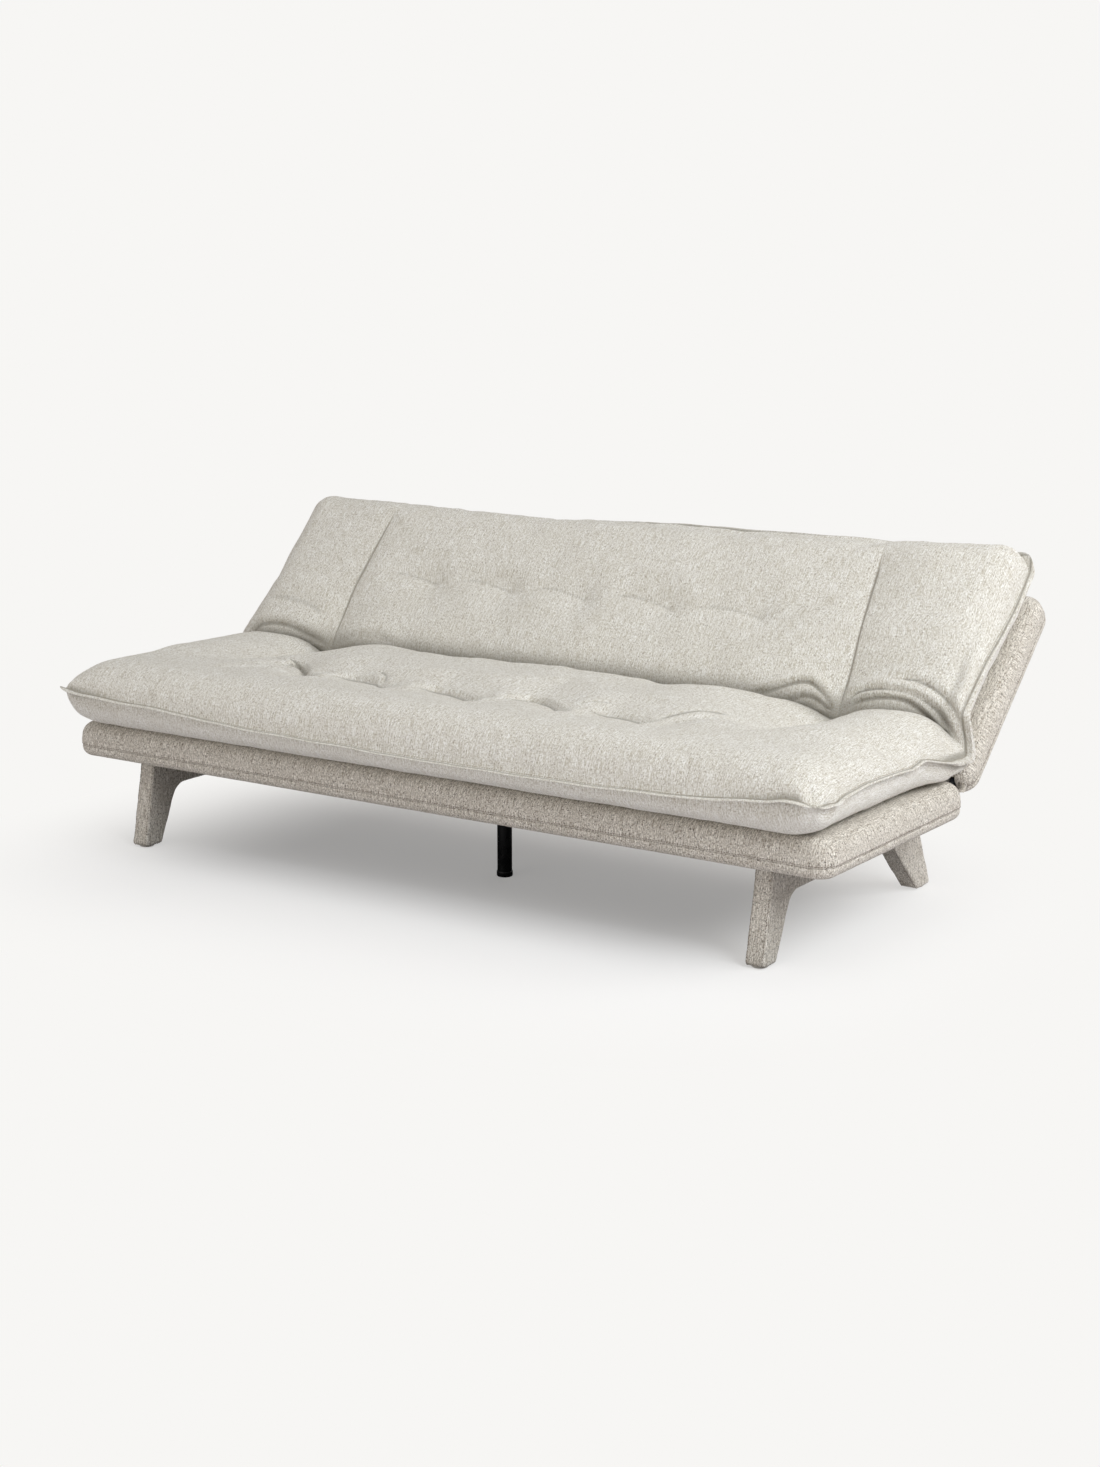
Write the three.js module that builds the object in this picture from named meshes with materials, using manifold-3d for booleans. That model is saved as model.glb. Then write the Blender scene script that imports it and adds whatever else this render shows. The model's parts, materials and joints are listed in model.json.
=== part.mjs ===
// Click clack sofa bed: an upholstered seat slab on two side leg frames and a centre leg, a back
// slab on a pair of ratchet hinges, and one tufted mattress folded over both.
// Millimetres, +Z up, +X along the sofa, -Y towards the sitter's feet. The seat and the back are
// both drawn lying flat about the hinge axis, and the back is then turned up to its middle stop.

import * as THREE from "three";
import { mergeVertices } from "three/addons/utils/BufferGeometryUtils.js";
import Module from "manifold-3d";

const wasm = await Module();
wasm.setup();

// Driving dimensions
const slab_length = 1980;
const end_overhang = 10; // mattress past each end of the slabs
const slab_thickness = 80;
const seat_slab_depth = 620;
const back_slab_height = 510; // measured along the slab
const ground_clearance = 205; // floor to the underside of the seat slab
const pivot_inset = 10; // hinge axis in front of the rear face of the seat slab
const pivot_depth = 35; // hinge axis below the top of the slabs
const hinge_gap = 20; // between the two slabs when the bed lies flat

// Positions of the back, in degrees above flat
const flat_stop_deg = 0;
const lounge_stop_deg = 42;
const upright_stop_deg = 68;
const release_deg = 72; // lifted past upright, where the ratchet lets go

// Clearances
const seat_gap = 0.3; // between two pieces that rest on each other
const running_gap = 0.4; // between hinge plates that slide on each other
const overrun = 5; // how far a cutter runs past what it cuts

const radians = THREE.MathUtils.degToRad;
const sides = { left: -1, right: 1 };

// Places that several pieces share, from the hinge axis
const slab_top = pivot_depth;
const slab_bottom = pivot_depth - slab_thickness;
const seat_rear = pivot_inset;
const seat_front = seat_rear - seat_slab_depth;
const back_start = seat_rear + hinge_gap;
const back_end = back_start + back_slab_height;
const pivot_height = ground_clearance - slab_bottom;
const slab_end = slab_length / 2;

// Materials
function finish(color, roughness, metalness = 0) {
  return new THREE.MeshStandardMaterial({ color, roughness, metalness });
}
const mattress_cloth = finish(0xcdc8be, 0.95);
const slab_cloth = finish(0xb3aa9d, 0.95);
const lining_cloth = finish(0x2b2a29, 0.9);
const foam = finish(0xe3dcc6, 1);
const timber = finish(0xc9a877, 0.75);
const spring_steel = finish(0x8d8f92, 0.4, 0.9);
const hinge_steel = finish(0x3d3f42, 0.45, 0.8);
const black_steel = finish(0x16161a, 0.35, 0.4);
const glide_plastic = finish(0xd9d6cf, 0.6);

// Solids
function toSolid(geometry) {
  const bare = geometry.index ? geometry.toNonIndexed() : geometry.clone();
  bare.deleteAttribute("normal");
  bare.deleteAttribute("uv");
  const merged = mergeVertices(bare);
  return new wasm.Manifold(
    new wasm.Mesh({
      numProp: 3,
      vertProperties: Float32Array.from(merged.attributes.position.array),
      triVerts: Uint32Array.from(merged.index.array),
    }),
  );
}

function toGeometry(solid) {
  const body = solid.getMesh();
  const geometry = new THREE.BufferGeometry();
  geometry.setAttribute("position", new THREE.BufferAttribute(body.vertProperties, 3));
  geometry.setIndex(new THREE.BufferAttribute(body.triVerts, 1));
  geometry.computeVertexNormals();
  return geometry;
}

function piece(name, shape, material) {
  const geometry = shape.isBufferGeometry ? shape : toGeometry(shape);
  const mesh = new THREE.Mesh(geometry, material);
  mesh.name = name;
  return mesh;
}

function cut(base, ...tools) {
  return tools.reduce((solid, tool) => solid.subtract(tool), base);
}

// A block between two corners
function block(low, high) {
  const size = high.map((value, axis) => value - low[axis]);
  const box = new THREE.BoxGeometry(...size);
  box.translate(...low.map((value, axis) => value + size[axis] / 2));
  return toSolid(box);
}

// A cylinder along X
function barAlongX(radius, x_low, x_high, y, z, facets) {
  const bar = new THREE.CylinderGeometry(radius, radius, x_high - x_low, facets);
  bar.rotateZ(Math.PI / 2);
  bar.translate((x_low + x_high) / 2, y, z);
  return toSolid(bar);
}

// A profile drawn in Y and Z, given a thickness along X from x_low
function plateAlongX(outline, x_low, thickness, bevel = 0, bevel_steps = 0, facets = 8) {
  const plate = new THREE.ExtrudeGeometry(outline, {
    depth: thickness - bevel - bevel,
    bevelEnabled: bevel > 0,
    bevelThickness: bevel,
    bevelSize: bevel,
    bevelOffset: -bevel,
    bevelSegments: bevel_steps,
    curveSegments: facets,
  });
  plate.applyMatrix4(
    new THREE.Matrix4().makeBasis(
      new THREE.Vector3(0, 1, 0),
      new THREE.Vector3(0, 0, 1),
      new THREE.Vector3(1, 0, 0),
    ),
  );
  plate.translate(x_low + bevel, 0, 0);
  return toSolid(plate);
}

// An outline whose corners are rounded, each corner given as [y, z, radius], anticlockwise
function roundedOutline(corners) {
  const outline = new THREE.Shape();
  corners.forEach(([y, z, radius], i) => {
    const corner = new THREE.Vector2(y, z);
    const [y_before, z_before] = corners.at(i - 1);
    const [y_after, z_after] = corners[(i + 1) % corners.length];
    const back = new THREE.Vector2(y_before, z_before).sub(corner).normalize();
    const ahead = new THREE.Vector2(y_after, z_after).sub(corner).normalize();
    const half_angle = Math.acos(back.dot(ahead)) / 2;
    const reach = radius / Math.tan(half_angle);
    const start = back.clone().multiplyScalar(reach).add(corner);
    const end = ahead.clone().multiplyScalar(reach).add(corner);
    const bisector = back.clone().add(ahead).normalize();
    const centre = bisector.multiplyScalar(radius / Math.sin(half_angle)).add(corner);
    const turns_right = back.cross(ahead) > 0;
    if (i === 0) outline.moveTo(start.x, start.y);
    else outline.lineTo(start.x, start.y);
    const from = start.sub(centre).angle();
    const to = end.sub(centre).angle();
    if (radius > 0) outline.absarc(centre.x, centre.y, radius, from, to, turns_right);
  });
  outline.closePath();
  return outline;
}

// A closed skin over rings that all have the same number of points
function loftRings(rings) {
  const count = rings[0].length;
  const points = rings.flat();
  const triangles = [];
  for (let ring = 0; ring + 1 < rings.length; ring++) {
    for (let i = 0; i < count; i++) {
      const a = ring * count + i;
      const b = ring * count + ((i + 1) % count);
      triangles.push(a, b, b + count, a, b + count, a + count);
    }
  }
  const last = (rings.length - 1) * count;
  for (let i = 1; i + 1 < count; i++) {
    triangles.push(0, i + 1, i, last, last + i, last + i + 1);
  }
  const geometry = new THREE.BufferGeometry().setFromPoints(points);
  geometry.setIndex(triangles);
  return toSolid(geometry);
}

// Slabs: cloth over wadding, stretched round a timber frame
const slab_corner_radius = 42; // seen from above
const slab_edge_radius = 25;
const slab_corner_facets = 5;
const slab_edge_facets = 4;
const cover_wall = 6; // cloth and wadding on the top and the sides
const cloth = 2; // bare cloth where it turns under the frame
const cloth_turn = 40; // width of the cloth turned under
const lining_thickness = 1.5;
const foam_thickness = 10;
const rail_width = 25;
const centre_rail_width = 60;
const spring_wire = 3.8;
const rebate_width = 14; // step in a rail on which the spring ends lie
const rebate_depth = spring_wire + seat_gap;

// One level of a slab: a rectangle with round corners
function planRing(x_half, y_low, y_high, z, corner_radius) {
  const ring = [];
  const quarters = [
    [x_half, y_low, -1, 1],
    [x_half, y_high, 1, 1],
    [-x_half, y_high, 1, -1],
    [-x_half, y_low, -1, -1],
  ];
  quarters.forEach(([x, y, y_side, x_side], quarter) => {
    for (let i = 0; i <= slab_corner_facets; i++) {
      const turn = (quarter - 1 + i / slab_corner_facets) * (Math.PI / 2);
      ring.push(
        new THREE.Vector3(
          x + corner_radius * (Math.cos(turn) - x_side),
          y + corner_radius * (Math.sin(turn) - y_side),
          z,
        ),
      );
    }
  });
  return ring;
}

// The form of a slab set in from its outside by side_inset, between two levels
function slabForm(y_low, y_high, side_inset, z_low, z_high) {
  const edge = slab_edge_radius - side_inset;
  const rings = [];
  for (const [centre, side] of [[z_low + edge, -1], [z_high - edge, 1]]) {
    for (let i = 0; i <= slab_edge_facets; i++) {
      const share = side < 0 ? slab_edge_facets - i : i;
      const turn = (share / slab_edge_facets) * (Math.PI / 2);
      const inset = side_inset + edge * (1 - Math.cos(turn));
      rings.push(
        planRing(
          slab_end - inset,
          y_low + inset,
          y_high - inset,
          centre + side * edge * Math.sin(turn),
          slab_corner_radius - inset,
        ),
      );
    }
  }
  return loftRings(rings);
}

// Ratchet hinges, one inside each end of the slabs
const plate_thickness = 4;
const arm_thickness = 5;
const plate_width = 26;
const plate_reach = 170; // along the seat rail
const arm_width = 30;
const arm_reach = 190; // along the back rail
const plate_end_radius = 6;
const screw_radius = 3.2;
const screw_facets = 10;
const screw_shares = [0.45, 0.68, 0.9];
const pin_radius = 5;
const pin_clearance = 0.1; // between the pin and the bores it turns in
const pin_head_radius = 9;
const pin_head = 3;
const pin_facets = 20;
const head_recess = 1; // room round a pin head in the rail
const hub_radius = 17;
const tooth_radius = 29;
const notch_radius = 24;
const notch_floor_deg = 7;
const tooth_crest_deg = 8;
const catch_deg = 235; // where the click spring meets the teeth, from the direction of the back
const ramp_steps = 4;
const spring_leaf = 2; // thickness of the click spring
const spring_run = 48; // from its hook to its eye
const spring_lift = 1.5; // leaf clear of the tooth tips
const stud_radius = 3;
const eye_radius = stud_radius + seat_gap + spring_leaf;
const stud_facets = 12;
const slot_margin = 3; // cloth cut back round an arm

const rail_face = slab_end - cover_wall - seat_gap - rail_width;
const plate_outer = rail_face - seat_gap;
const plate_inner = plate_outer - plate_thickness;
const arm_outer = plate_inner - running_gap;
const arm_inner = arm_outer - arm_thickness;
const back_rail_face = arm_outer + seat_gap;
const hinge_inner = arm_inner - seat_gap - pin_head;
const rear_rail_half = hinge_inner - slot_margin;

// The two ends of a span along X, for the left or the right side
function span(side, inner, outer) {
  return side > 0 ? [inner, outer] : [-outer, -inner];
}

function polar(radius, degrees) {
  return new THREE.Vector2(
    radius * Math.cos(radians(degrees)),
    radius * Math.sin(radians(degrees)),
  );
}

// Toothed sector and arm, in the frame of the back lying flat
function armOutline() {
  const half = arm_width / 2;
  const crests = [];
  const stops = [upright_stop_deg, lounge_stop_deg, flat_stop_deg];
  const face_gap_deg = THREE.MathUtils.radToDeg(seat_gap / notch_radius);
  const first_deg = catch_deg - upright_stop_deg - notch_floor_deg - tooth_crest_deg;
  let crest_deg = first_deg;
  for (const stop of stops) {
    const notch_deg = catch_deg - stop;
    const ramp_deg = notch_deg - notch_floor_deg - crest_deg;
    for (let i = 0; i < ramp_steps; i++) {
      const radius = tooth_radius + ((notch_radius - tooth_radius) * i) / ramp_steps;
      crests.push(polar(radius, crest_deg + (ramp_deg * i) / ramp_steps));
    }
    crests.push(polar(notch_radius, notch_deg - notch_floor_deg));
    crests.push(polar(notch_radius, notch_deg + face_gap_deg));
    crest_deg = notch_deg + face_gap_deg;
  }
  crests.push(polar(tooth_radius, crest_deg));
  crests.push(polar(tooth_radius, crest_deg + tooth_crest_deg));
  const hub_top = Math.PI - Math.asin(half / hub_radius);
  const outline = new THREE.Shape();
  outline.moveTo(arm_reach, -half + plate_end_radius);
  outline.lineTo(arm_reach, half - plate_end_radius);
  outline.quadraticCurveTo(arm_reach, half, arm_reach - plate_end_radius, half);
  outline.lineTo(-hub_radius * Math.cos(hub_top), half);
  outline.absarc(0, 0, hub_radius, Math.PI - hub_top, radians(first_deg), false);
  crests.forEach((crest) => outline.lineTo(crest.x, crest.y));
  outline.absarc(0, 0, hub_radius, radians(crest_deg + tooth_crest_deg), hub_top - Math.PI, false);
  outline.lineTo(arm_reach - plate_end_radius, -half);
  outline.quadraticCurveTo(arm_reach, -half, arm_reach, -half + plate_end_radius);
  return outline;
}

function hingeArm(side) {
  const [x_low, x_high] = span(side, arm_inner, arm_outer);
  const holes = screw_shares.map((share) =>
    barAlongX(screw_radius, x_low - overrun, x_high + overrun, share * arm_reach, 0, screw_facets),
  );
  const bore_radius = pin_radius + pin_clearance;
  const bore = barAlongX(bore_radius, x_low - overrun, x_high + overrun, 0, 0, pin_facets);
  return cut(plateAlongX(armOutline(), x_low, x_high - x_low), bore, ...holes);
}

// The catch direction is the outward line from the hinge axis through the hook
const catch_out = polar(1, catch_deg);
const catch_along = polar(1, catch_deg + 90);
function catchPoint(along, out) {
  return catch_along
    .clone()
    .multiplyScalar(along)
    .add(catch_out.clone().multiplyScalar(out));
}
const leaf_inner = tooth_radius + spring_lift;
const eye_centre = catchPoint(-spring_run, leaf_inner + spring_leaf - eye_radius);
const fulcrum_out = leaf_inner + spring_leaf + seat_gap + stud_radius;
const fulcrum_share = 0.62;
const fulcrum = catchPoint(-spring_run * fulcrum_share, fulcrum_out);

// Fixed plate with the two studs that carry the click spring
function hingePlate(side) {
  const half = plate_width / 2;
  const [x_low, x_high] = span(side, plate_inner, plate_outer);
  const outline = roundedOutline([
    [-plate_reach, -half, plate_end_radius],
    [pin_head_radius + plate_end_radius, -half, half],
    [pin_head_radius + plate_end_radius, half, half - seat_gap],
    [-plate_reach, half, plate_end_radius],
  ]);
  const stud_span = span(side, arm_inner, plate_outer - plate_thickness / 2);
  const studs = [eye_centre, fulcrum].map((at) => {
    const bar = barAlongX(stud_radius, ...stud_span, at.x, at.y, stud_facets);
    const tab = barAlongX(stud_radius + spring_leaf, x_low, x_high, at.x, at.y, stud_facets);
    return bar.add(tab);
  });
  const holes = screw_shares.map((share) =>
    barAlongX(screw_radius, x_low - overrun, x_high + overrun, -share * plate_reach, 0, screw_facets),
  );
  const bore_radius = pin_radius + pin_clearance;
  const bore = barAlongX(bore_radius, x_low - overrun, x_high + overrun, 0, 0, pin_facets);
  const plate = plateAlongX(outline, x_low, x_high - x_low);
  const drilled = cut(plate, bore, ...holes);
  return studs.reduce((solid, stud) => solid.add(stud), drilled);
}

// Spring leaf with a rolled eye at one end and a hook that drops behind a tooth
function clickSpring(side) {
  const [x_low, x_high] = span(side, arm_inner, arm_outer);
  const hook_inner = notch_radius + seat_gap;
  const leaf_outer = leaf_inner + spring_leaf;
  const strip = new THREE.Shape(
    [
      [-spring_run, leaf_inner],
      [-spring_leaf, leaf_inner],
      [-spring_leaf, hook_inner],
      [0, hook_inner],
      [0, leaf_outer],
      [-spring_run, leaf_outer],
    ].map(([along, out]) => catchPoint(along, out)),
  );
  const eye = barAlongX(eye_radius, x_low, x_high, eye_centre.x, eye_centre.y, stud_facets);
  const bore_radius = stud_radius + seat_gap;
  const bore = barAlongX(
    bore_radius,
    x_low - overrun,
    x_high + overrun,
    eye_centre.x,
    eye_centre.y,
    stud_facets,
  );
  return cut(plateAlongX(strip, x_low, x_high - x_low).add(eye), bore);
}

// Pivot pin with a head outside each plate
function pivotPin(side) {
  const inner_head = arm_inner - seat_gap;
  const outer_head = plate_outer + seat_gap;
  const profile = [
    [0, inner_head - pin_head],
    [pin_head_radius, inner_head - pin_head],
    [pin_head_radius, inner_head],
    [pin_radius, inner_head],
    [pin_radius, outer_head],
    [pin_head_radius, outer_head],
    [pin_head_radius, outer_head + pin_head],
    [0, outer_head + pin_head],
  ].map(([radius, along]) => new THREE.Vector2(radius, along));
  const pin = new THREE.LatheGeometry(profile, pin_facets);
  pin.rotateZ(-Math.PI / 2);
  if (side < 0) pin.rotateY(Math.PI);
  return toSolid(pin);
}

// Room for the arm where it leaves the seat slab, from flat to the release position
function seatSlot(side) {
  const [x_low, x_high] = span(side, hinge_inner - seat_gap, rail_face + pin_head + seat_gap);
  const wall_inside = seat_rear - cover_wall - seat_gap;
  const lean = arm_width / 2 / Math.sin(radians(release_deg));
  const front = frame_high / Math.tan(radians(release_deg)) - lean - slot_margin;
  return block(
    [x_low, Math.min(front, wall_inside), -tooth_radius - slot_margin],
    [x_high, seat_rear + overrun, slab_top + overrun],
  );
}

// Room for the arm where it enters the back slab
function backSlot(side) {
  const [x_low, x_high] = span(side, hinge_inner - seat_gap, arm_outer + seat_gap);
  const half = arm_width / 2 + slot_margin;
  const depth = cover_wall + slot_margin;
  return block([x_low, back_start - overrun, -half], [x_high, back_start + depth, half]);
}

// Levels inside a slab
const frame_low = slab_bottom + cloth + seat_gap;
const frame_high = slab_top - cover_wall - foam_thickness - seat_gap - seat_gap;

// Cover, lining and foam of one slab
function slabCover(y_low, y_high, slots) {
  const outside = slabForm(y_low, y_high, 0, slab_bottom, slab_top);
  const inside = slabForm(
    y_low, y_high, cover_wall, slab_bottom + cloth, slab_top - cover_wall,
  );
  const opening = block(
    [-slab_end + cloth_turn, y_low + cloth_turn, slab_bottom - overrun],
    [slab_end - cloth_turn, y_high - cloth_turn, slab_bottom + cloth + overrun],
  );
  return cut(outside, inside, opening, ...slots);
}

function slabLining(y_low, y_high) {
  const inset = cloth_turn + seat_gap;
  const low = slab_bottom + seat_gap;
  return block(
    [-slab_end + inset, y_low + inset, low],
    [slab_end - inset, y_high - inset, low + lining_thickness],
  );
}

function insideForm(y_low, y_high) {
  const inset = cover_wall + seat_gap;
  return slabForm(y_low, y_high, inset, frame_low, slab_top - inset);
}

function slabFoam(y_low, y_high, slots) {
  const layer = block(
    [-slab_end, y_low, frame_high + seat_gap],
    [slab_end, y_high, slab_top],
  );
  return cut(insideForm(y_low, y_high).intersect(layer), ...slots);
}

// Timber frame of one slab; the hinge-side rail stops short of the hinges
function slabRails(prefix, y_low, y_high, hinge_side, end_face, cross_places) {
  const form = insideForm(y_low, y_high);
  const inset = cover_wall + seat_gap;
  const rail = (low, high) => form.intersect(block(low, high));
  const low_inner = y_low + inset + rail_width;
  const high_inner = y_high - inset - rail_width;
  const low_half = hinge_side < 0 ? rear_rail_half : end_face - seat_gap;
  const high_half = hinge_side > 0 ? rear_rail_half : end_face - seat_gap;
  const names = hinge_side > 0 ? ["front", "rear"] : ["bottom", "top"];
  const step = (from, to) =>
    block([-slab_end, from, frame_high - rebate_depth], [slab_end, to, frame_high + overrun]);
  const pieces = {};
  pieces[names[0]] = cut(
    rail([-low_half, y_low, frame_low], [low_half, low_inner, frame_high]),
    step(low_inner - rebate_width, low_inner + overrun),
  );
  pieces[names[1]] = cut(
    rail([-high_half, high_inner, frame_low], [high_half, y_high, frame_high]),
    step(high_inner - overrun, high_inner + rebate_width),
  );
  for (const [name, side] of Object.entries(sides)) {
    const [x_low, x_high] = span(side, end_face, slab_end);
    const end_rail = rail([x_low, y_low, frame_low], [x_high, y_high, frame_high]);
    const recess_span = span(side, end_face - overrun, end_face + pin_head + head_recess);
    const recess = barAlongX(pin_head_radius + head_recess, ...recess_span, 0, 0, pin_facets);
    pieces[`${name}_end`] = cut(end_rail, recess);
  }
  for (const [name, x, width] of cross_places) {
    pieces[name] = block(
      [x - width / 2, low_inner + seat_gap, frame_low],
      [x + width / 2, high_inner - seat_gap, frame_high],
    );
  }
  return Object.entries(pieces).map(([name, solid]) =>
    piece(`${prefix}_${name}_rail`, solid, timber),
  );
}

// Sinuous springs, laid across the frame on the steps of its two long rails
const spring_sway = 26; // half the width of a spring
const spring_pitch = 104; // one full wave
const spring_wave_steps = 8;
const spring_sides = 5;

function sinuousSprings(prefix, y_low, y_high, places) {
  const inset = cover_wall + seat_gap + rail_width - rebate_width + spring_wire;
  const start = y_low + inset;
  const run = y_high - inset - start;
  const waves = Math.max(1, Math.round(run / spring_pitch));
  const level = frame_high - rebate_depth + seat_gap + spring_wire / 2;
  const steps = waves * spring_wave_steps;
  const wire = new THREE.Shape();
  for (let i = 0; i < spring_sides; i++) {
    const corner = polar(spring_wire / 2, (i * 360) / spring_sides);
    if (i === 0) wire.moveTo(corner.x, corner.y);
    else wire.lineTo(corner.x, corner.y);
  }
  wire.closePath();
  return places.map((x, i) => {
    const points = [];
    for (let step = 0; step <= steps; step++) {
      const turn = (step / spring_wave_steps) * 2 * Math.PI;
      points.push(
        new THREE.Vector3(x + spring_sway * Math.sin(turn), start + (run * step) / steps, level),
      );
    }
    const spring = new THREE.ExtrudeGeometry(wire, {
      steps,
      extrudePath: new THREE.CatmullRomCurve3(points),
    });
    return piece(`${prefix}_spring_${i + 1}`, spring, spring_steel);
  });
}

// Mattress: two pillow halves and the fold between them
const front_overhang = 63; // flange past the front face of the seat slab
const top_overhang = 21; // flange past the top end of the back slab
const mattress_corner_radius = 45; // seen from above
const flange_width = 14;
const flange_thickness = 5;
const seat_flange_height = 76; // above the slab, at the ends
const back_flange_height = 80;
const seat_flange_sag = 20; // lower in the middle of the front
const back_flange_sag = 4;
const seat_crown = 160;
const back_crown = 166;
const seat_end_shoulder = 105; // width over which the top rises from an end flange
const back_end_shoulder = 75;
const seat_front_shoulder = 95; // and from the flange along the front or the top
const back_top_shoulder = 65;
const under_shoulder = 105; // width over which the underside leaves the slab
const side_draw = 8; // how far the sides pull in between the corners
const end_panel_width = 302; // from the seam of an end panel to its flange
const seam_depth = 7;
const seam_width = 22;
const tuft_spacing = 230;
const tufts_each_side = 2;
const tuft_radius = 46;
const seat_tuft_depth = 24;
const back_tuft_depth = 16;
const seat_tuft_reach = 425; // from the hinge axis to the row of tufts
const back_tuft_reach = 303;
const seat_channel = 12; // shallow channel that joins the tufts
const back_channel = 5;
const tuft_channel_width = 40;
const seat_crease_fall = 22; // the top drops towards the fold
const back_crease_fall = 46;
const crease_slack_deg = 5;
const back_crease_deg = 45; // lower end of the back half, above the plane of the back
const forward_deg = release_deg - lounge_stop_deg;
const fold_deg = forward_deg + crease_slack_deg;
const seat_crease_deg = 180 - lounge_stop_deg - back_crease_deg - fold_deg;
const mattress_base = slab_top + seat_gap;

// Shares of the radius of a tuft, of the way on to the flange, and of the rise over an end
const tuft_shares = [-1, -1 / 2, 0, 1 / 2, 1];
const outer_shares = [0.4, 0.7, 0.9, 0.97, 1];
const end_shares = [0.07, 0.25, 0.6, 1];

const seat_half = {
  direction: -1,
  reach: front_overhang - seat_front,
  crease_deg: seat_crease_deg,
  flange_height: seat_flange_height,
  flange_sag: seat_flange_sag,
  crown: seat_crown,
  end_shoulder: seat_end_shoulder,
  outer_shoulder: seat_front_shoulder,
  crease_fall: seat_crease_fall,
  tuft_depth: seat_tuft_depth,
  tuft_reach: seat_tuft_reach,
  channel: seat_channel,
};
const back_half = {
  direction: 1,
  reach: back_end + top_overhang,
  crease_deg: back_crease_deg,
  flange_height: back_flange_height,
  flange_sag: back_flange_sag,
  crown: back_crown,
  end_shoulder: back_end_shoulder,
  outer_shoulder: back_top_shoulder,
  crease_fall: back_crease_fall,
  tuft_depth: back_tuft_depth,
  tuft_reach: back_tuft_reach,
  channel: back_channel,
};
const mattress_end = slab_end + end_overhang;
const end_seam = mattress_end - flange_width;
const panel_seam = mattress_end - end_panel_width;

// Rises from 0 to 1 as a quarter of an ellipse over one shoulder
function shoulder(distance, width) {
  const left = 1 - Math.min(Math.max(distance / width, 0), 1);
  return Math.sqrt(1 - left ** 2);
}

function bell(distance, width) {
  return Math.exp(-((distance / width) ** 2));
}

function tuftPlaces() {
  const places = [];
  for (let i = -tufts_each_side; i <= tufts_each_side; i++) places.push(i * tuft_spacing);
  return places;
}

// Share of the way from the middle to an end
function endShare(x) {
  return Math.abs(x) / mattress_end;
}

function flangeLevel(half, x) {
  return mattress_base + half.flange_height - half.flange_sag * (1 - endShare(x) ** 2);
}

function mattressTop(half, x, v) {
  const flange = flangeLevel(half, x);
  const end_rise = shoulder(end_seam - Math.abs(x), half.end_shoulder);
  const outer_rise = shoulder(half.reach - flange_width - v, half.outer_shoulder);
  const rise = end_rise * outer_rise;
  const fall = half.crease_fall * Math.cos((Math.min(v / half.reach, 1) * Math.PI) / 2) ** 2;
  let level = flange + flange_thickness / 2 + (mattress_base + half.crown - flange - fall) * rise;
  for (const tuft of tuftPlaces()) {
    level -= half.tuft_depth * bell(Math.hypot(x - tuft, v - half.tuft_reach), tuft_radius);
  }
  const between_seams = Math.abs(x) < panel_seam ? 1 : 0;
  level -= between_seams * half.channel * bell(v - half.tuft_reach, tuft_channel_width);
  level -= seam_depth * rise * bell(Math.abs(x) - panel_seam, seam_width);
  return level;
}

function mattressUnder(half, x, v) {
  const flange = flangeLevel(half, x) - flange_thickness / 2;
  const end_rise = shoulder(end_seam - Math.abs(x), under_shoulder);
  const outer_rise = shoulder(half.reach - flange_width - v, under_shoulder);
  return flange - (flange - mattress_base) * end_rise * outer_rise;
}

// Places along X where the mattress has a row of points
function mattressStations() {
  const right = [];
  for (const tuft of tuftPlaces()) {
    for (const share of tuft_shares) right.push(tuft + share * tuft_radius);
  }
  right.push((panel_seam + tufts_each_side * tuft_spacing) / 2);
  right.push(panel_seam - seam_width, panel_seam, panel_seam + seam_width);
  for (const share of end_shares.toReversed()) right.push(end_seam - share * seat_end_shoulder);
  right.push(end_seam, mattress_end);
  const positive = right.filter((x) => x > 0);
  return [...positive.map((x) => -x).reverse(), 0, ...positive];
}

// Rows from the fold to the seam of the flange, as shares of that way
function rowShares(half) {
  const crease = (mattress_base + half.crown) / Math.tan(radians(half.crease_deg));
  const seam = half.reach - flange_width;
  const tuft_rows = tuft_shares.map((share) => half.tuft_reach + share * tuft_radius);
  const last = tuft_rows.at(-1);
  const outer_rows = outer_shares.map((share) => last + share * (seam - last));
  const rows = [crease, (crease + tuft_rows[0]) / 2, ...tuft_rows, ...outer_rows];
  return rows.map((v) => (v - crease) / (seam - crease));
}

// Distance from the hinge axis, at one level, of one row of points
function rowReach(half, level, row_share) {
  const crease = level / Math.tan(radians(half.crease_deg));
  return crease + (half.reach - flange_width - crease) * row_share;
}

// Reach and level of a point of the top, settled by stepping between the row and the surface
const settle_steps = 4;
function topPoint(half, x, row_share) {
  let level = mattress_base + half.crown;
  for (let i = 0; i < settle_steps; i++) {
    level = mattressTop(half, x, rowReach(half, level, row_share));
  }
  return [rowReach(half, level, row_share), level];
}

function underPoint(half, x, row_share) {
  const level = mattressUnder(half, x, rowReach(half, mattress_base, row_share));
  return [rowReach(half, level, row_share), level];
}

// Turns the square corner of a half into a round one
function roundedCorner(half, x, v) {
  const out_x = Math.abs(x) - mattress_end + mattress_corner_radius;
  const out_v = v - half.reach + mattress_corner_radius;
  if (out_x <= 0 || out_v <= 0) return [x, v];
  const left = 1 - Math.max(out_x, out_v) / Math.hypot(out_x, out_v);
  return [x - Math.sign(x) * out_x * left, v - out_v * left];
}

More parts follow.
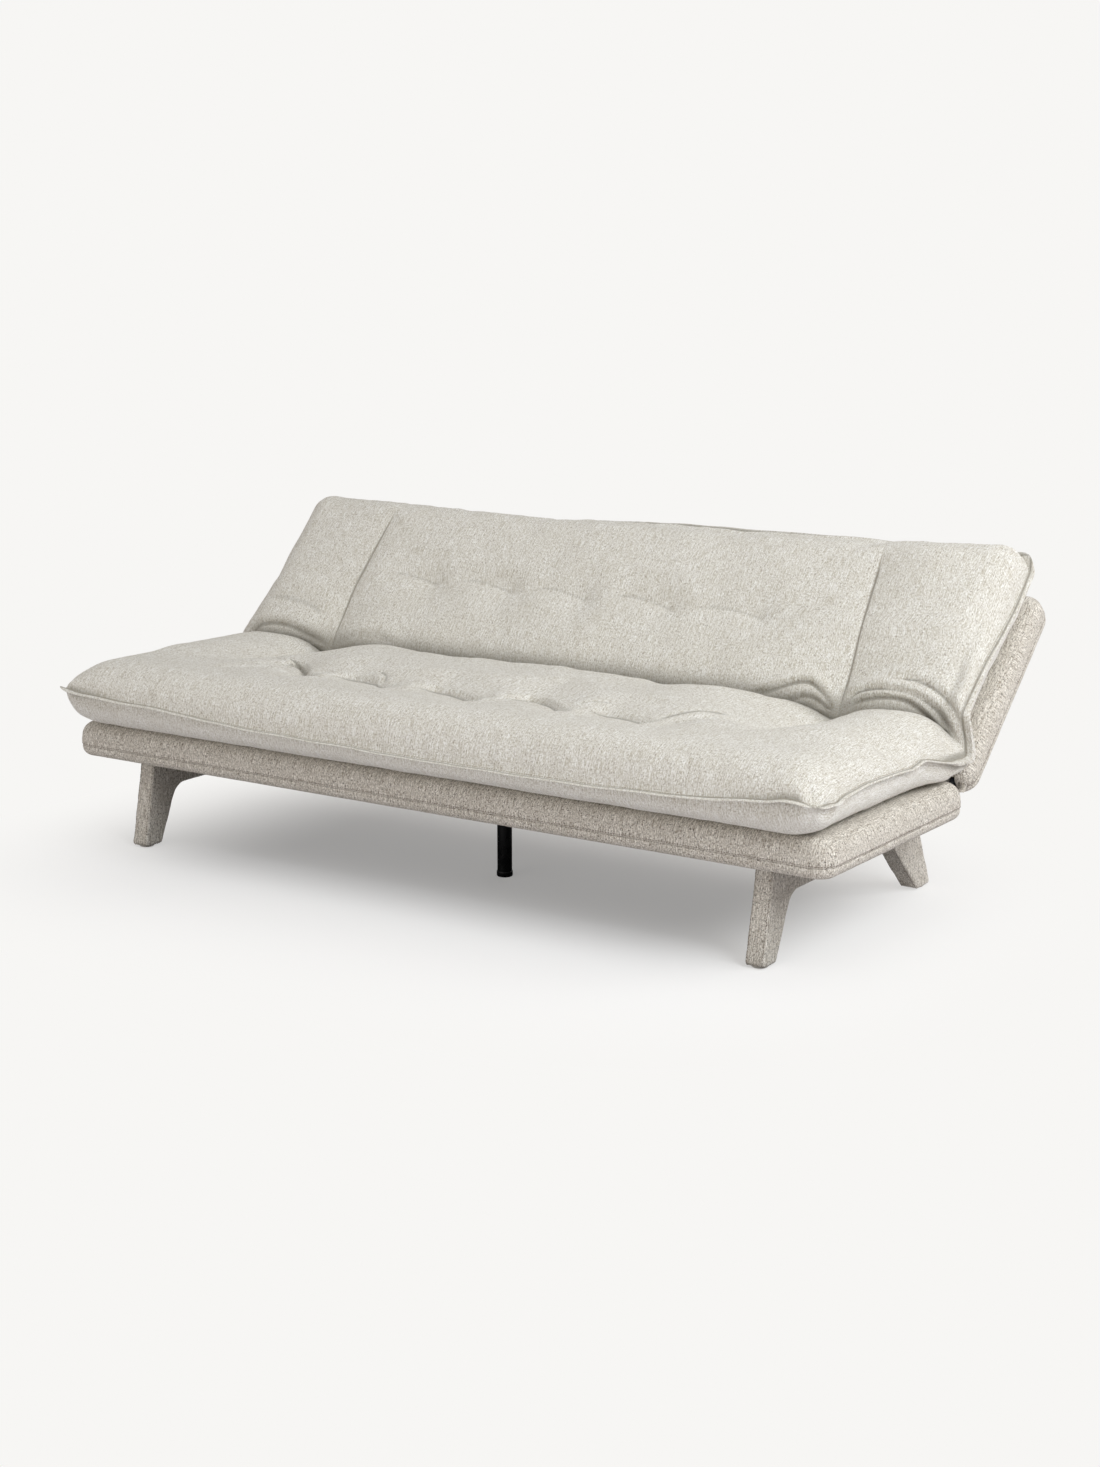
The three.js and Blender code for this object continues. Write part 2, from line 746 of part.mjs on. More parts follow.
// One point of a half, on its top (layer 1) or its underside (layer -1)
function halfPoint(half, layer, x, row_share, at_flange) {
  const point = layer > 0 ? topPoint(half, x, row_share) : underPoint(half, x, row_share);
  let [v, level] = point;
  if (at_flange || Math.abs(x) === mattress_end) {
    level = flangeLevel(half, x) + (layer * flange_thickness) / 2;
    v = at_flange ? half.reach : rowReach(half, level, row_share);
  }
  const [x_round, v_round] = roundedCorner(half, x, v);
  const v_draw = side_draw * row_share * (1 - endShare(x) ** 2);
  const between_ends = 4 * row_share * (1 - row_share);
  const x_draw = side_draw * between_ends * Math.sign(x) * endShare(x) ** 4;
  return new THREE.Vector3(x_round - x_draw, half.direction * (v_round - v_draw), level);
}

// One half, as a top and an underside that meet round the flange
function mattressHalf(half) {
  const stations = mattressStations();
  const rows = rowShares(half);
  const columns = rows.length + 1;
  const points = [];
  for (const layer of [1, -1]) {
    for (const x of stations) {
      for (const row of rows) points.push(halfPoint(half, layer, x, row, false));
      points.push(halfPoint(half, layer, x, 1, true));
    }
  }
  const triangles = [];
  const quad = (...corners) => {
    const [a, b, c, d] = half.direction > 0 ? corners : corners.reverse();
    const first = points[a].distanceTo(points[c]);
    if (first <= points[b].distanceTo(points[d])) triangles.push(a, b, c, a, c, d);
    else triangles.push(a, b, d, b, c, d);
  };
  const sheet = stations.length * columns;
  const last = sheet - columns;
  for (let i = 0; i < last; i += columns) {
    for (let a = i; a + 1 < i + columns; a++) {
      quad(a, a + columns, a + columns + 1, a + 1);
      quad(sheet + a, sheet + a + 1, sheet + a + columns + 1, sheet + a + columns);
    }
    const outer = i + columns - 1;
    quad(i, sheet + i, sheet + i + columns, i + columns);
    quad(outer, outer + columns, sheet + outer + columns, sheet + outer);
  }
  for (let j = 0; j + 1 < columns; j++) {
    quad(j, j + 1, sheet + j + 1, sheet + j);
    quad(last + j, sheet + last + j, sheet + last + j + 1, last + j + 1);
  }
  const geometry = new THREE.BufferGeometry().setFromPoints(points);
  geometry.setIndex(triangles);
  return geometry;
}

// The fold: what fills the wedge between the halves at the middle stop
const fold_valley = 112; // bottom of the crease above the slab
const fold_valley_back = 18; // crease in front of the hinge axis
const fold_bulge = 10; // roundness of the fold on each side of the crease

// A point on a ray from the hinge axis, moved into the fold by the gap between pieces
function foldEdge(angle_deg, side, radius) {
  return polar(radius, angle_deg).add(polar(seat_gap, angle_deg + side * 90));
}

function middle(a, b) {
  return a.clone().lerp(b, 1 / 2);
}

function foldSection(x) {
  const seat_ray = 180 - seat_crease_deg;
  const back_ray = lounge_stop_deg + back_crease_deg;
  const seat_top = foldEdge(seat_ray, -1, Math.hypot(...topPoint(seat_half, x, 0)));
  const back_top = foldEdge(back_ray, 1, Math.hypot(...topPoint(back_half, x, 0)));
  const seat_foot = foldEdge(seat_ray, -1, Math.hypot(...underPoint(seat_half, x, 0)));
  const back_foot = foldEdge(back_ray, 1, Math.hypot(...underPoint(back_half, x, 0)));
  const rise = shoulder(end_seam - Math.abs(x), seat_end_shoulder);
  const seam = seam_depth * bell(Math.abs(x) - panel_seam, seam_width);
  const valley = new THREE.Vector2(-fold_valley_back, mattress_base + fold_valley - seam);
  const crease = middle(seat_top, back_top).lerp(valley, rise);
  const bulge = fold_bulge * rise;
  const seat_bulge = middle(seat_top, crease).add(new THREE.Vector2(0, bulge));
  const back_bulge = middle(crease, back_top).add(polar(bulge, lounge_stop_deg + 90));
  return [seat_foot, back_foot, back_top, back_bulge, crease, seat_bulge, seat_top];
}

function mattressFold() {
  const rings = mattressStations().map((x) => {
    const seam_x = Math.sign(x) * Math.min(Math.abs(x), end_seam);
    return foldSection(seam_x).map((point) => new THREE.Vector3(x, point.x, point.y));
  });
  return loftRings(rings);
}

// Side leg frames: one padded plate each, with two raked feet and an arch between them
const side_frame_inset = 150; // outer face from the end of the seat slab
const side_frame_width = 42;
const frame_band = 69; // height of the band under the slab
const front_foot_inset = 22; // behind the front face of the slab
const front_foot_length = 55;
const front_foot_splay = 39;
const front_inner_splay = 58;
const rear_foot_reach = 160; // behind the rear face of the slab
const rear_foot_length = 63;
const rear_foot_splay = 95;
const rear_inner_splay = 137;
const front_arch_radius = 46;
const rear_arch_radius = 62;
const knee_radius = 55;
const front_top_radius = 8;
const foot_radius = 7;
const frame_edge = 6;
const frame_edge_steps = 2;
const frame_facets = 3;
const glide_height = 4;
const glide_radius = 17;
const glide_bevel = 1.5;
const glide_facets = 20;

const frame_top = ground_clearance - seat_gap;
const arch_top = ground_clearance - frame_band;
const foot_bottom = glide_height + seat_gap;
const side_frame_outer = slab_end - side_frame_inset;
const front_foot = seat_front + front_foot_inset;
const rear_foot = seat_rear + rear_foot_reach;

function sideFrame(side) {
  const [x_low, x_high] = span(side, side_frame_outer - side_frame_width, side_frame_outer);
  const outline = roundedOutline([
    [front_foot, foot_bottom, foot_radius],
    [front_foot + front_foot_length, foot_bottom, foot_radius],
    [front_foot + front_foot_length + front_inner_splay, arch_top, front_arch_radius],
    [rear_foot - rear_foot_length - rear_inner_splay, arch_top, rear_arch_radius],
    [rear_foot - rear_foot_length, foot_bottom, foot_radius],
    [rear_foot, foot_bottom, foot_radius],
    [rear_foot - rear_foot_splay, frame_top, knee_radius],
    [front_foot + front_foot_splay, frame_top, front_top_radius],
  ]);
  return plateAlongX(
    outline, x_low, x_high - x_low, frame_edge, frame_edge_steps, frame_facets,
  );
}

function glide() {
  const profile = [
    [0, 0],
    [glide_radius - glide_bevel, 0],
    [glide_radius, glide_bevel],
    [glide_radius, glide_height],
    [0, glide_height],
  ].map(([radius, z]) => new THREE.Vector2(radius, z));
  const disc = new THREE.LatheGeometry(profile, glide_facets);
  disc.rotateX(Math.PI / 2);
  return toSolid(disc);
}

// Centre leg: a black tube under the centre rail
const centre_leg_x = 25;
const centre_leg_reach = 305; // in front of the hinge axis
const centre_leg_radius = 16.5;
const centre_leg_facets = 24;
const leg_plate_size = 88;
const leg_plate_radius = 10;
const leg_plate_thickness = 4;
const leg_shoe_radius = 18;
const leg_shoe_height = 14;
const leg_shoe_bevel = 2;
const leg_socket_depth = 8; // how deep the tube sits in its foot

function revolve(corners, facets) {
  const profile = corners.map(([radius, z]) => new THREE.Vector2(radius, z));
  const turned = new THREE.LatheGeometry(profile, facets);
  turned.rotateX(Math.PI / 2);
  return toSolid(turned);
}

function centreLeg() {
  const plate_low = frame_top - leg_plate_thickness;
  const tube_low = leg_shoe_height - leg_socket_depth;
  const tube_high = plate_low - seat_gap;
  const tube = revolve(
    [[0, tube_low], [centre_leg_radius, tube_low], [centre_leg_radius, tube_high], [0, tube_high]],
    centre_leg_facets,
  );
  const socket_radius = centre_leg_radius + seat_gap;
  const socket_floor = tube_low - seat_gap;
  const foot = revolve(
    [
      [0, 0],
      [leg_shoe_radius - leg_shoe_bevel, 0],
      [leg_shoe_radius, leg_shoe_bevel],
      [leg_shoe_radius, leg_shoe_height],
      [socket_radius, leg_shoe_height],
      [socket_radius, socket_floor],
      [0, socket_floor],
    ],
    centre_leg_facets,
  );
  const half = leg_plate_size / 2;
  const square = new THREE.Shape();
  const corner = half - leg_plate_radius;
  square.absarc(corner, corner, leg_plate_radius, 0, Math.PI / 2, false);
  square.absarc(-corner, corner, leg_plate_radius, Math.PI / 2, Math.PI, false);
  square.absarc(-corner, -corner, leg_plate_radius, Math.PI, (3 * Math.PI) / 2, false);
  square.absarc(corner, -corner, leg_plate_radius, (3 * Math.PI) / 2, 2 * Math.PI, false);
  const plate = new THREE.ExtrudeGeometry(square, {
    depth: leg_plate_thickness,
    bevelEnabled: false,
    curveSegments: frame_facets,
  });
  plate.translate(0, 0, plate_low);
  return { tube, foot, plate: toSolid(plate) };
}

// Seat body
const cross_rail = side_frame_outer - side_frame_width / 2;
const cross_rails = [
  ["left_cross", -cross_rail, side_frame_width],
  ["right_cross", cross_rail, side_frame_width],
  ["centre", 0, centre_rail_width],
];
const bay = cross_rail - side_frame_width / 2 - centre_rail_width / 2;
const seat_springs_each_bay = 3;
const back_springs_each_bay = 2;

// Places of the springs, evenly over the two bays beside the centre rail
function springPlaces(each_bay) {
  const right = [];
  for (let i = 0; i < each_bay; i++) {
    right.push(centre_rail_width / 2 + (bay * (i + 1 / 2)) / each_bay);
  }
  return [...right.map((x) => -x).reverse(), ...right];
}

const at_pivot = new THREE.Group();
at_pivot.position.z = pivot_height;

const seat_slots = Object.values(sides).map(seatSlot);
const back_slots = Object.values(sides).map(backSlot);

at_pivot.add(
  piece("seat_cover", slabCover(seat_front, seat_rear, seat_slots), slab_cloth),
  piece("seat_dust_cover", slabLining(seat_front, seat_rear), lining_cloth),
  piece("seat_foam", slabFoam(seat_front, seat_rear, seat_slots), foam),
  ...slabRails("seat", seat_front, seat_rear, 1, rail_face, cross_rails),
  ...sinuousSprings("seat", seat_front, seat_rear, springPlaces(seat_springs_each_bay)),
  piece("mattress_seat", mattressHalf(seat_half), mattress_cloth),
  piece("mattress_fold", mattressFold(), mattress_cloth),
);
for (const [name, side] of Object.entries(sides)) {
  at_pivot.add(
    piece(`hinge_plate_${name}`, hingePlate(side), hinge_steel),
    piece(`click_spring_${name}`, clickSpring(side), spring_steel),
    piece(`pivot_pin_${name}`, pivotPin(side), spring_steel),
  );
}

// Back body, turned up from flat to the middle stop
const back = new THREE.Group();
back.rotation.x = radians(lounge_stop_deg);
back.add(
  piece("back_cover", slabCover(back_start, back_end, back_slots), slab_cloth),
  piece("back_rear_cloth", slabLining(back_start, back_end), slab_cloth),
  piece("back_foam", slabFoam(back_start, back_end, []), foam),
  ...slabRails("back", back_start, back_end, -1, back_rail_face, cross_rails),
  ...sinuousSprings("back", back_start, back_end, springPlaces(back_springs_each_bay)),
  piece("mattress_back", mattressHalf(back_half), mattress_cloth),
);
for (const [name, side] of Object.entries(sides)) {
  back.add(piece(`hinge_arm_${name}`, hingeArm(side), hinge_steel));
}
at_pivot.add(back);

// Legs stand on the floor
const legs = new THREE.Group();
for (const [name, side] of Object.entries(sides)) {
  legs.add(piece(`leg_frame_${name}`, sideFrame(side), slab_cloth));
  const feet = {
    front: front_foot + front_foot_length / 2,
    rear: rear_foot - rear_foot_length / 2,
  };
  for (const [place, y] of Object.entries(feet)) {
    const foot = piece(`glide_${place}_${name}`, glide(), glide_plastic);
    foot.position.set(side * cross_rail, y, 0);
    legs.add(foot);
  }
}
const centre_leg = centreLeg();
const centre_leg_group = new THREE.Group();
centre_leg_group.position.set(centre_leg_x, -centre_leg_reach, 0);
centre_leg_group.add(
  piece("centre_leg_tube", centre_leg.tube, black_steel),
  piece("centre_leg_foot", centre_leg.foot, black_steel),
  piece("centre_leg_plate", centre_leg.plate, black_steel),
);
legs.add(centre_leg_group);

// The origin is on the floor, midway between the front flange and the rear of the raised back
const sofa = new THREE.Group();
sofa.name = "click_clack_sofa_bed";
sofa.add(at_pivot, legs);
const overall = new THREE.Box3().setFromObject(sofa, true);
sofa.position.y = -(overall.min.y + overall.max.y) / 2;

export default sofa;
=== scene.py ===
# Click clack sofa bed: an upholstered seat and back on ratchet hinges, side leg frames, a black
# centre leg, and one tufted mattress that folds where the back meets the seat. Metres, +Z up.
import math
from types import SimpleNamespace

import bmesh
import bpy
import numpy as np
from mathutils import Matrix, Vector, noise
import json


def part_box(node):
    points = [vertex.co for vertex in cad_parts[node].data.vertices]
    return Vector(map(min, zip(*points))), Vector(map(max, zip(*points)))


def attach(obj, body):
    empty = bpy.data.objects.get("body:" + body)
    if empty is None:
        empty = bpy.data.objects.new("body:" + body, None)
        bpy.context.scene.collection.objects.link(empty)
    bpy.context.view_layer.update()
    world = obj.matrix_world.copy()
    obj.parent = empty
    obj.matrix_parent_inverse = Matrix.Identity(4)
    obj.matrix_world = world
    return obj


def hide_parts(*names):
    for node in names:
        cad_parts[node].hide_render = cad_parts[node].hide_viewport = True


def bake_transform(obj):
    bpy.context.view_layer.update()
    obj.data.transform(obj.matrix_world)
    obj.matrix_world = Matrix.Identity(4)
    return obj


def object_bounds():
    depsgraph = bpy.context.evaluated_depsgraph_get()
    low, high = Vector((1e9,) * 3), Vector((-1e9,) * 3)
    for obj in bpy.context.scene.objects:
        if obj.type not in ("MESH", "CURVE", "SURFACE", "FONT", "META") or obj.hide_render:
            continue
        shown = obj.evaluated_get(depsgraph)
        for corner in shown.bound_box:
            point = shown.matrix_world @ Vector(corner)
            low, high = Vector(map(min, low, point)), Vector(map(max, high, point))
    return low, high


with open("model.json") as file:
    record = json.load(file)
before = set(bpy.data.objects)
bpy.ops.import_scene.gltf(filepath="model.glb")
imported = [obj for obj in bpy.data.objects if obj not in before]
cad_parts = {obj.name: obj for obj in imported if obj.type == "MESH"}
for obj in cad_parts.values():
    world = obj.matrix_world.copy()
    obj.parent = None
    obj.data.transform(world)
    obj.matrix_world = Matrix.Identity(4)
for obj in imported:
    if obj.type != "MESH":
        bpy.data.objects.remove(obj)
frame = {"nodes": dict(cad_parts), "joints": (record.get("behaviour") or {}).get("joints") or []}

# The whole part and its hinge
cad_low, cad_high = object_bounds()
backrest = frame["joints"][0]
hinge = Vector(backrest["pos_m"])
rest_turn = -math.radians(backrest["range_deg"][0])
back_turn = Matrix.Rotation(rest_turn, 4, "X")

# Slabs, from the hinge axis with the back lying flat
seat_low, seat_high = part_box("seat_cover")
slab_end = seat_high.x
slab_top = seat_high.z - hinge.z
slab_bottom = seat_low.z - hinge.z
hinge_gap = 0.020
back_height = 0.510
slab_corner_radius = 0.042
slab_edge_radius = 0.034
slab_under_radius = 0.022
slab_seam = slab_bottom + slab_under_radius + 0.003
slab_joint = 0.530
cover_wall = 0.0063
cover_thickness = 0.0025
hem_inner = 0.033
cloth_turn = 0.040
top_insets = (0.040, 0.070, 0.120, 0.200)
ring_steps = (120, 34)
corner_steps = 12

seat_front = seat_low.y - hinge.y
seat_rear = seat_high.y - hinge.y
back_start = seat_rear + hinge_gap
back_end = back_start + back_height
seat_frame = SimpleNamespace(low=seat_front, high=seat_rear, turned=False, body="seat_body")
back_frame = SimpleNamespace(low=back_start, high=back_end, turned=True, body="back_body")

# The sewn groove round a slab: how far each point lies inside the side, and above the seam
seam_groove = ((0.0004, -0.0018), (0.0026, 0.0), (0.0002, 0.0018), (-0.0008, 0.006))
side_bulge = 0.0012
bulge_end = 0.008

# Padding, lining cloths, and the slits and strips at the hinge arms
padding_thickness = 0.010
padding_inset = 0.012
padding_shoulder = 0.018
padding_swell = 0.0084
padding_lump = 0.0010
lining_thickness = 0.0008
lining_lift = 0.0012
slit_inner, slit_outer = 0.9400, 0.9620
back_slit_inner, back_slit_outer = 0.945, 0.9565
strip_end = 0.983
strip_hold = 0.002
strip_thickness = 0.0012
strip_on_seat, strip_on_back = 0.010, 0.008
strip_sag = 0.006
strip_pitch = 0.006

# Leg frames, from the front and the rear of each frame
leg_band = 0.0687
foot_radius = 0.007
front_foot, front_inner, front_top = 0.055, 0.113, 0.039
rear_foot, rear_inner, rear_top = 0.063, 0.200, 0.095
front_arch_radius, rear_arch_radius = 0.046, 0.062
front_top_radius, rear_top_radius = 0.008, 0.055
leg_voxel = 0.0032
leg_stitch_inset = 0.0035

# Mattress
mattress_end = cad_high.x
seat_reach = 0.063 - seat_front
back_reach = back_end + 0.021
mattress_corner_radius = 0.056
flange_width = 0.014
flange_thickness = 0.005
mattress_base = slab_top + 0.0003
end_seam = mattress_end - flange_width
end_panel_width = 0.302
panel_seam = mattress_end - end_panel_width
panel_lean = 0.024
under_shoulder = 0.105
side_draw = 0.008
tuft_pinch = 0.010
settle_steps = 6
strip_shares = np.array([0.2, 0.45, 0.7, 0.88, 0.97, 1.0])

# Where the sewn row begins before its first tuft and ends after its last one
row_start, row_end = 0.20, 0.16
crease_fade_in, crease_fade_out = (0.15, 0.10), 0.14
channel_fade_in, channel_fade_out = 0.21, 0.20

# The valley at the seam of an end panel, and the depth and width of its line and its dip
valley_outer, valley_inner = 0.052, 0.076
valley_start = 0.10
valley_power = 1.35
seam_line = ((0.0026, 0.0026), (0.0020, 0.014))

# The fold: its valley, the way the cloth runs into it, and its ends at the flange
fold_valley = 0.112
fold_valley_back = 0.018
fold_seam_drop, fold_seam_width = 0.022, 0.05
crease_height = 0.147
fold_behind = (0.90, 0.43)
fold_steps = 18
fold_end = (0.002, 0.088)
fold_end_under = (0.070, 0.020)

seat_half = SimpleNamespace(
    direction=-1, reach=seat_reach, crease_deg=58, flange_height=0.076, flange_sag=0.020,
    crown=0.149, end_shoulder=0.105, outer_shoulder=0.095, crease_fall=0.010,
    tuft_depth=0.002, tuft_radius=0.050, tuft_reach=0.410,
    tufts=(-0.455, -0.222, 0.015, 0.240, 0.458),
    channel=0.003, channel_front=0.085, channel_rear=0.050,
    bows=(0.085, 0.034, 0.030, 0.060, 0.018, 0.0),
    crease_depth=0.0165, crease_front=0.082, crease_rear=0.0080,
    seam_valley=0.050, valley_end=0.46, seam_close=(0.94, 0.30, 0.46),
    sewn_shade=1.0, fold_rows=0.32, corner_fullness=0.0, corner_rise=0.0,
)
back_half = SimpleNamespace(
    direction=1, reach=back_reach, crease_deg=45, flange_height=0.080, flange_sag=0.004,
    crown=0.161, end_shoulder=0.075, outer_shoulder=0.065, crease_fall=0.046,
    tuft_depth=0.008, tuft_radius=0.042, tuft_reach=0.285,
    tufts=(-0.465, -0.243, -0.032, 0.199, 0.435),
    channel=0.003, channel_front=0.050, channel_rear=0.045,
    bows=(-0.012, -0.014, -0.014, -0.016, -0.012, 0.0),
    crease_depth=0.0046, crease_front=0.030, crease_rear=0.007,
    seam_valley=0.022, valley_end=0.30, seam_close=(0.97, back_reach - 0.15, back_reach - 0.085),
    sewn_shade=0.50, fold_rows=0.12, corner_fullness=0.65, corner_rise=0.016,
)

# The back's full upper right corner, along X and from the hinge axis
corner_across = (0.80, 0.94)
corner_along = (0.34, 0.50)
crest_place, crest_width = 0.80, 0.090
crest_along = (0.30, 0.46)

# The crease between two tufts: places from one to the next, how far it bows, and how deep it is
crease_places = (0.0, 0.10, 0.28, 0.38, 0.48, 0.62, 0.80, 1.0)
crease_bows = (0.0, 0.0, 0.05, 0.55, 1.0, 0.96, 0.60, 0.0)
crease_depths = (1.0, 0.35, 0.05, 0.60, 1.0, 1.0, 1.0, 1.0)

# How far the sewn lip stands above or below its level: along the front, along the ends of the
# seat, along the ends of the back and along its top
front_lip = (
    (-0.94, 0.007), (-0.68, 0.0075), (-0.55, 0.003), (-0.44, -0.001), (-0.20, -0.002),
    (0.0, -0.005), (0.42, -0.008), (0.62, -0.007), (0.72, -0.0045), (0.82, 0.002),
    (0.885, 0.005), (0.915, 0.0115), (0.947, 0.010), (0.979, 0.002),
)
seat_end_lip = (
    (0.02, -0.026), (0.07, -0.0235), (0.145, -0.0075), (0.207, 0.0085), (0.253, -0.0015),
    (0.338, 0.003), (0.451, 0.007), (0.543, 0.002), (0.585, -0.008), (0.60, -0.002),
)
back_end_lip = (
    (0.09, 0.033), (0.20, 0.031), (0.26, 0.025), (0.33, 0.012), (0.42, 0.0), (0.49, 0.005),
    (0.55, 0.008),
)
back_top_lip = (
    (-0.95, 0.0), (-0.30, 0.004), (-0.05, 0.030), (0.12, 0.038), (0.30, 0.036), (0.55, 0.037),
    (0.68, 0.028), (0.80, 0.020), (0.92, 0.022), (0.97, 0.024),
)
lip_blur = 0.008

# Folds: points in the plane of a half, x and distance from the hinge axis, then the depth, the
# width and the side on which the cloth swells
back_folds = (
    (((0.700, 0.100), (0.735, 0.131), (0.800, 0.141), (0.872, 0.131), (0.934, 0.103),
      (0.985, 0.060)), 0.0100, 0.0066, 1),
    (((0.702, 0.088), (0.748, 0.112), (0.818, 0.123), (0.870, 0.114), (0.930, 0.080),
      (0.985, 0.040)), 0.0085, 0.0058, 1),
    (((0.790, 0.158), (0.850, 0.168), (0.915, 0.150), (0.965, 0.112), (0.990, 0.075)),
     0.0060, 0.0072, 1),
    (((0.470, 0.088), (0.530, 0.106), (0.590, 0.134), (0.625, 0.137), (0.660, 0.112),
      (0.694, 0.080)), 0.0075, 0.0060, 1),
    (((0.560, 0.078), (0.609, 0.104), (0.650, 0.100), (0.692, 0.072)), 0.0058, 0.0054, 1),
    (((-0.955, 0.196), (-0.869, 0.192), (-0.790, 0.180), (-0.735, 0.150)), 0.0030, 0.0140, 1),
    (((-0.985, 0.070), (-0.930, 0.112), (-0.850, 0.120), (-0.770, 0.104), (-0.702, 0.088)),
     0.0055, 0.0080, 1),
    (((-0.690, 0.090), (-0.640, 0.112), (-0.560, 0.118), (-0.480, 0.100)), 0.0030, 0.0090, 1),
)
seat_folds = (
    (((-0.478, 0.392), (-0.510, 0.350), (-0.556, 0.318), (-0.612, 0.305)), 0.0050, 0.0060, -1),
    (((-0.474, 0.405), (-0.560, 0.402), (-0.629, 0.450), (-0.685, 0.510)), 0.0045, 0.0070, -1),
    (((-0.450, 0.405), (-0.425, 0.418), (-0.395, 0.440)), 0.0035, 0.0065, -1),
    (((-0.244, 0.392), (-0.264, 0.358), (-0.300, 0.336)), 0.0038, 0.0060, -1),
    (((0.015, 0.412), (0.036, 0.432), (0.062, 0.462)), 0.0035, 0.0065, -1),
    (((0.240, 0.412), (0.262, 0.428), (0.292, 0.450)), 0.0040, 0.0065, -1),
    (((0.256, 0.392), (0.292, 0.362), (0.338, 0.346)), 0.0032, 0.0060, 1),
    (((0.470, 0.404), (0.535, 0.345), (0.605, 0.300)), 0.0042, 0.0095, 1),
)

# Swelling of the mattress as cloth, on a grid this many times coarser
swell_spread = 2.1
swell_frames = 16
swell_cap = 0.024
seat_swell = 0.85
back_swell = 0.40

# Stitches: pitch, length, radius and how deep each lies
slab_stitch = (0.0062, 0.0042, 0.0006, 0.0003)
mattress_stitch = (0.0062, 0.0044, 0.0007, 0.0003)
stitch_sides = 6
stitch_stations = ((-0.5, 0.35), (-0.42, 0.85), (0.0, 1.0), (0.42, 0.85), (0.5, 0.35))
stitch_reach = 1e-3


# Mesh helpers
def link_object(name, data):
    made = bpy.data.objects.new(name, data)
    bpy.context.scene.collection.objects.link(made)
    return made


def smooth_faces(piece):
    piece.data.polygons.foreach_set("use_smooth", [True] * len(piece.data.polygons))


def mesh_object(name, vertices, faces):
    mesh = bpy.data.meshes.new(name)
    mesh.from_pydata([tuple(v) for v in vertices], [], faces)
    mesh.validate()
    piece = link_object(name, mesh)
    smooth_faces(piece)
    return piece


def apply_modifiers(piece):
    graph = bpy.context.evaluated_depsgraph_get()
    mesh = bpy.data.meshes.new_from_object(piece.evaluated_get(graph))
    piece.modifiers.clear()
    old = piece.data
    piece.data = mesh
    bpy.data.meshes.remove(old)


def vector_array(data, key):
    values = np.empty(len(data) * 3)
    data.foreach_get(key, values)
    return values.reshape(-1, 3)


def vertex_array(piece):
    return vector_array(piece.data.vertices, "co")


def normal_array(piece):
    return vector_array(piece.data.vertices, "normal")


def set_vertices(piece, places):
    piece.data.vertices.foreach_set("co", places.astype(np.float32).ravel())
    piece.data.update()


def keep_painted_shade_and_light(piece, shade):
    """Keeps for each point its painted shade, how dark its cloth is drawn at seams and creases,
    or below 0 the painted light that makes it paler.
    """
    sewn = piece.data.attributes.new("sewn", "FLOAT", "POINT")
    sewn.data.foreach_set("value", shade.astype(np.float32))


def noise_array(places, scale, seed=0.0):
    """Smooth noise from -1 to 1 at each place, the same on every run."""
    shift = Vector((seed, seed * 1.7, seed * 0.3))
    return np.array([noise.noise(Vector(p) * scale + shift) for p in places])


def box_uv(piece):
    """Lays the weave on each face from the side that it faces most, in metres."""
    layer = piece.data.uv_layers.new(name="UVMap")
    for face in piece.data.polygons:
        axis = max(range(3), key=lambda k: abs(face.normal[k]))
        across, up = [(1, 2), (0, 2), (0, 1)][axis]
        for loop in face.loop_indices:
            place = piece.data.vertices[piece.data.loops[loop].vertex_index].co
            layer.data[loop].uv = (place[across], place[up])


def ring_faces(rings, count):
    """Faces between rings of points, one ring after another."""
    faces = []
    for ring in range(rings - 1):
        for i in range(count):
            j = (i + 1) % count
            low, high = ring * count, (ring + 1) * count
            faces.append((low + i, low + j, high + j, high + i))
    return faces


def sheet_faces(columns, rows):
    """Faces of an open grid of points, column after column."""
    return [
        (i * rows + j, (i + 1) * rows + j, (i + 1) * rows + j + 1, i * rows + j + 1)
        for i in range(columns - 1) for j in range(rows - 1)
    ]


def end_faces(count, last):
    """The two flat ends of a stack of rings."""
    return [tuple(range(count))[::-1], tuple(range(last, last + count))]


def shoulder(distance, width, fullness=2.0):
    """Rises from 0 to 1 as a quarter of an ellipse, or squarer where the fullness is over 2."""
    left = 1 - np.clip(distance / width, 0, 1)
    return (1 - left**fullness) ** (1 / fullness)


def bell(distance, width):
    return np.exp(-((distance / width) ** 2))


def smooth_step(value, low, high):
    share = np.clip((value - low) / (high - low), 0, 1)
    return share * share * (3 - 2 * share)


def through(places, pairs):
    """A value that runs through (place, value) pairs, with its corners softened."""
    at, values = zip(*pairs)
    return sum(np.interp(places + shift, at, values) for shift in (-lip_blur, 0, lip_blur)) / 3


# Mattress form
def flange_level(half, x):
    ends = (np.abs(x) / mattress_end) ** 2
    return mattress_base + half.flange_height - half.flange_sag * (1 - ends)


def crease_line(half, x):
    """Distance from the hinge axis of the line that bows back from tuft to tuft, and how deep
    it is: sharp on one side of each tuft, and fading before the next."""
    first, last = half.tufts[0], half.tufts[-1]
    places = (first - row_start, *half.tufts, last + row_end)
    line = np.full_like(x, half.tuft_reach)
    strength = np.zeros_like(x)
    for left, right, bow in zip(places, places[1:], half.bows):
        share = (x - left) / (right - left)
        inside = (share > 0) & (share <= 1)
        line = line - np.where(inside, bow * np.interp(share, crease_places, crease_bows), 0)
        strength = np.where(inside, np.interp(share, crease_places, crease_depths), strength)
    strength = strength * smooth_step(x, first - crease_fade_in[0], first - crease_fade_in[1])
    return line, strength * (1 - smooth_step(x, last, last + crease_fade_out))


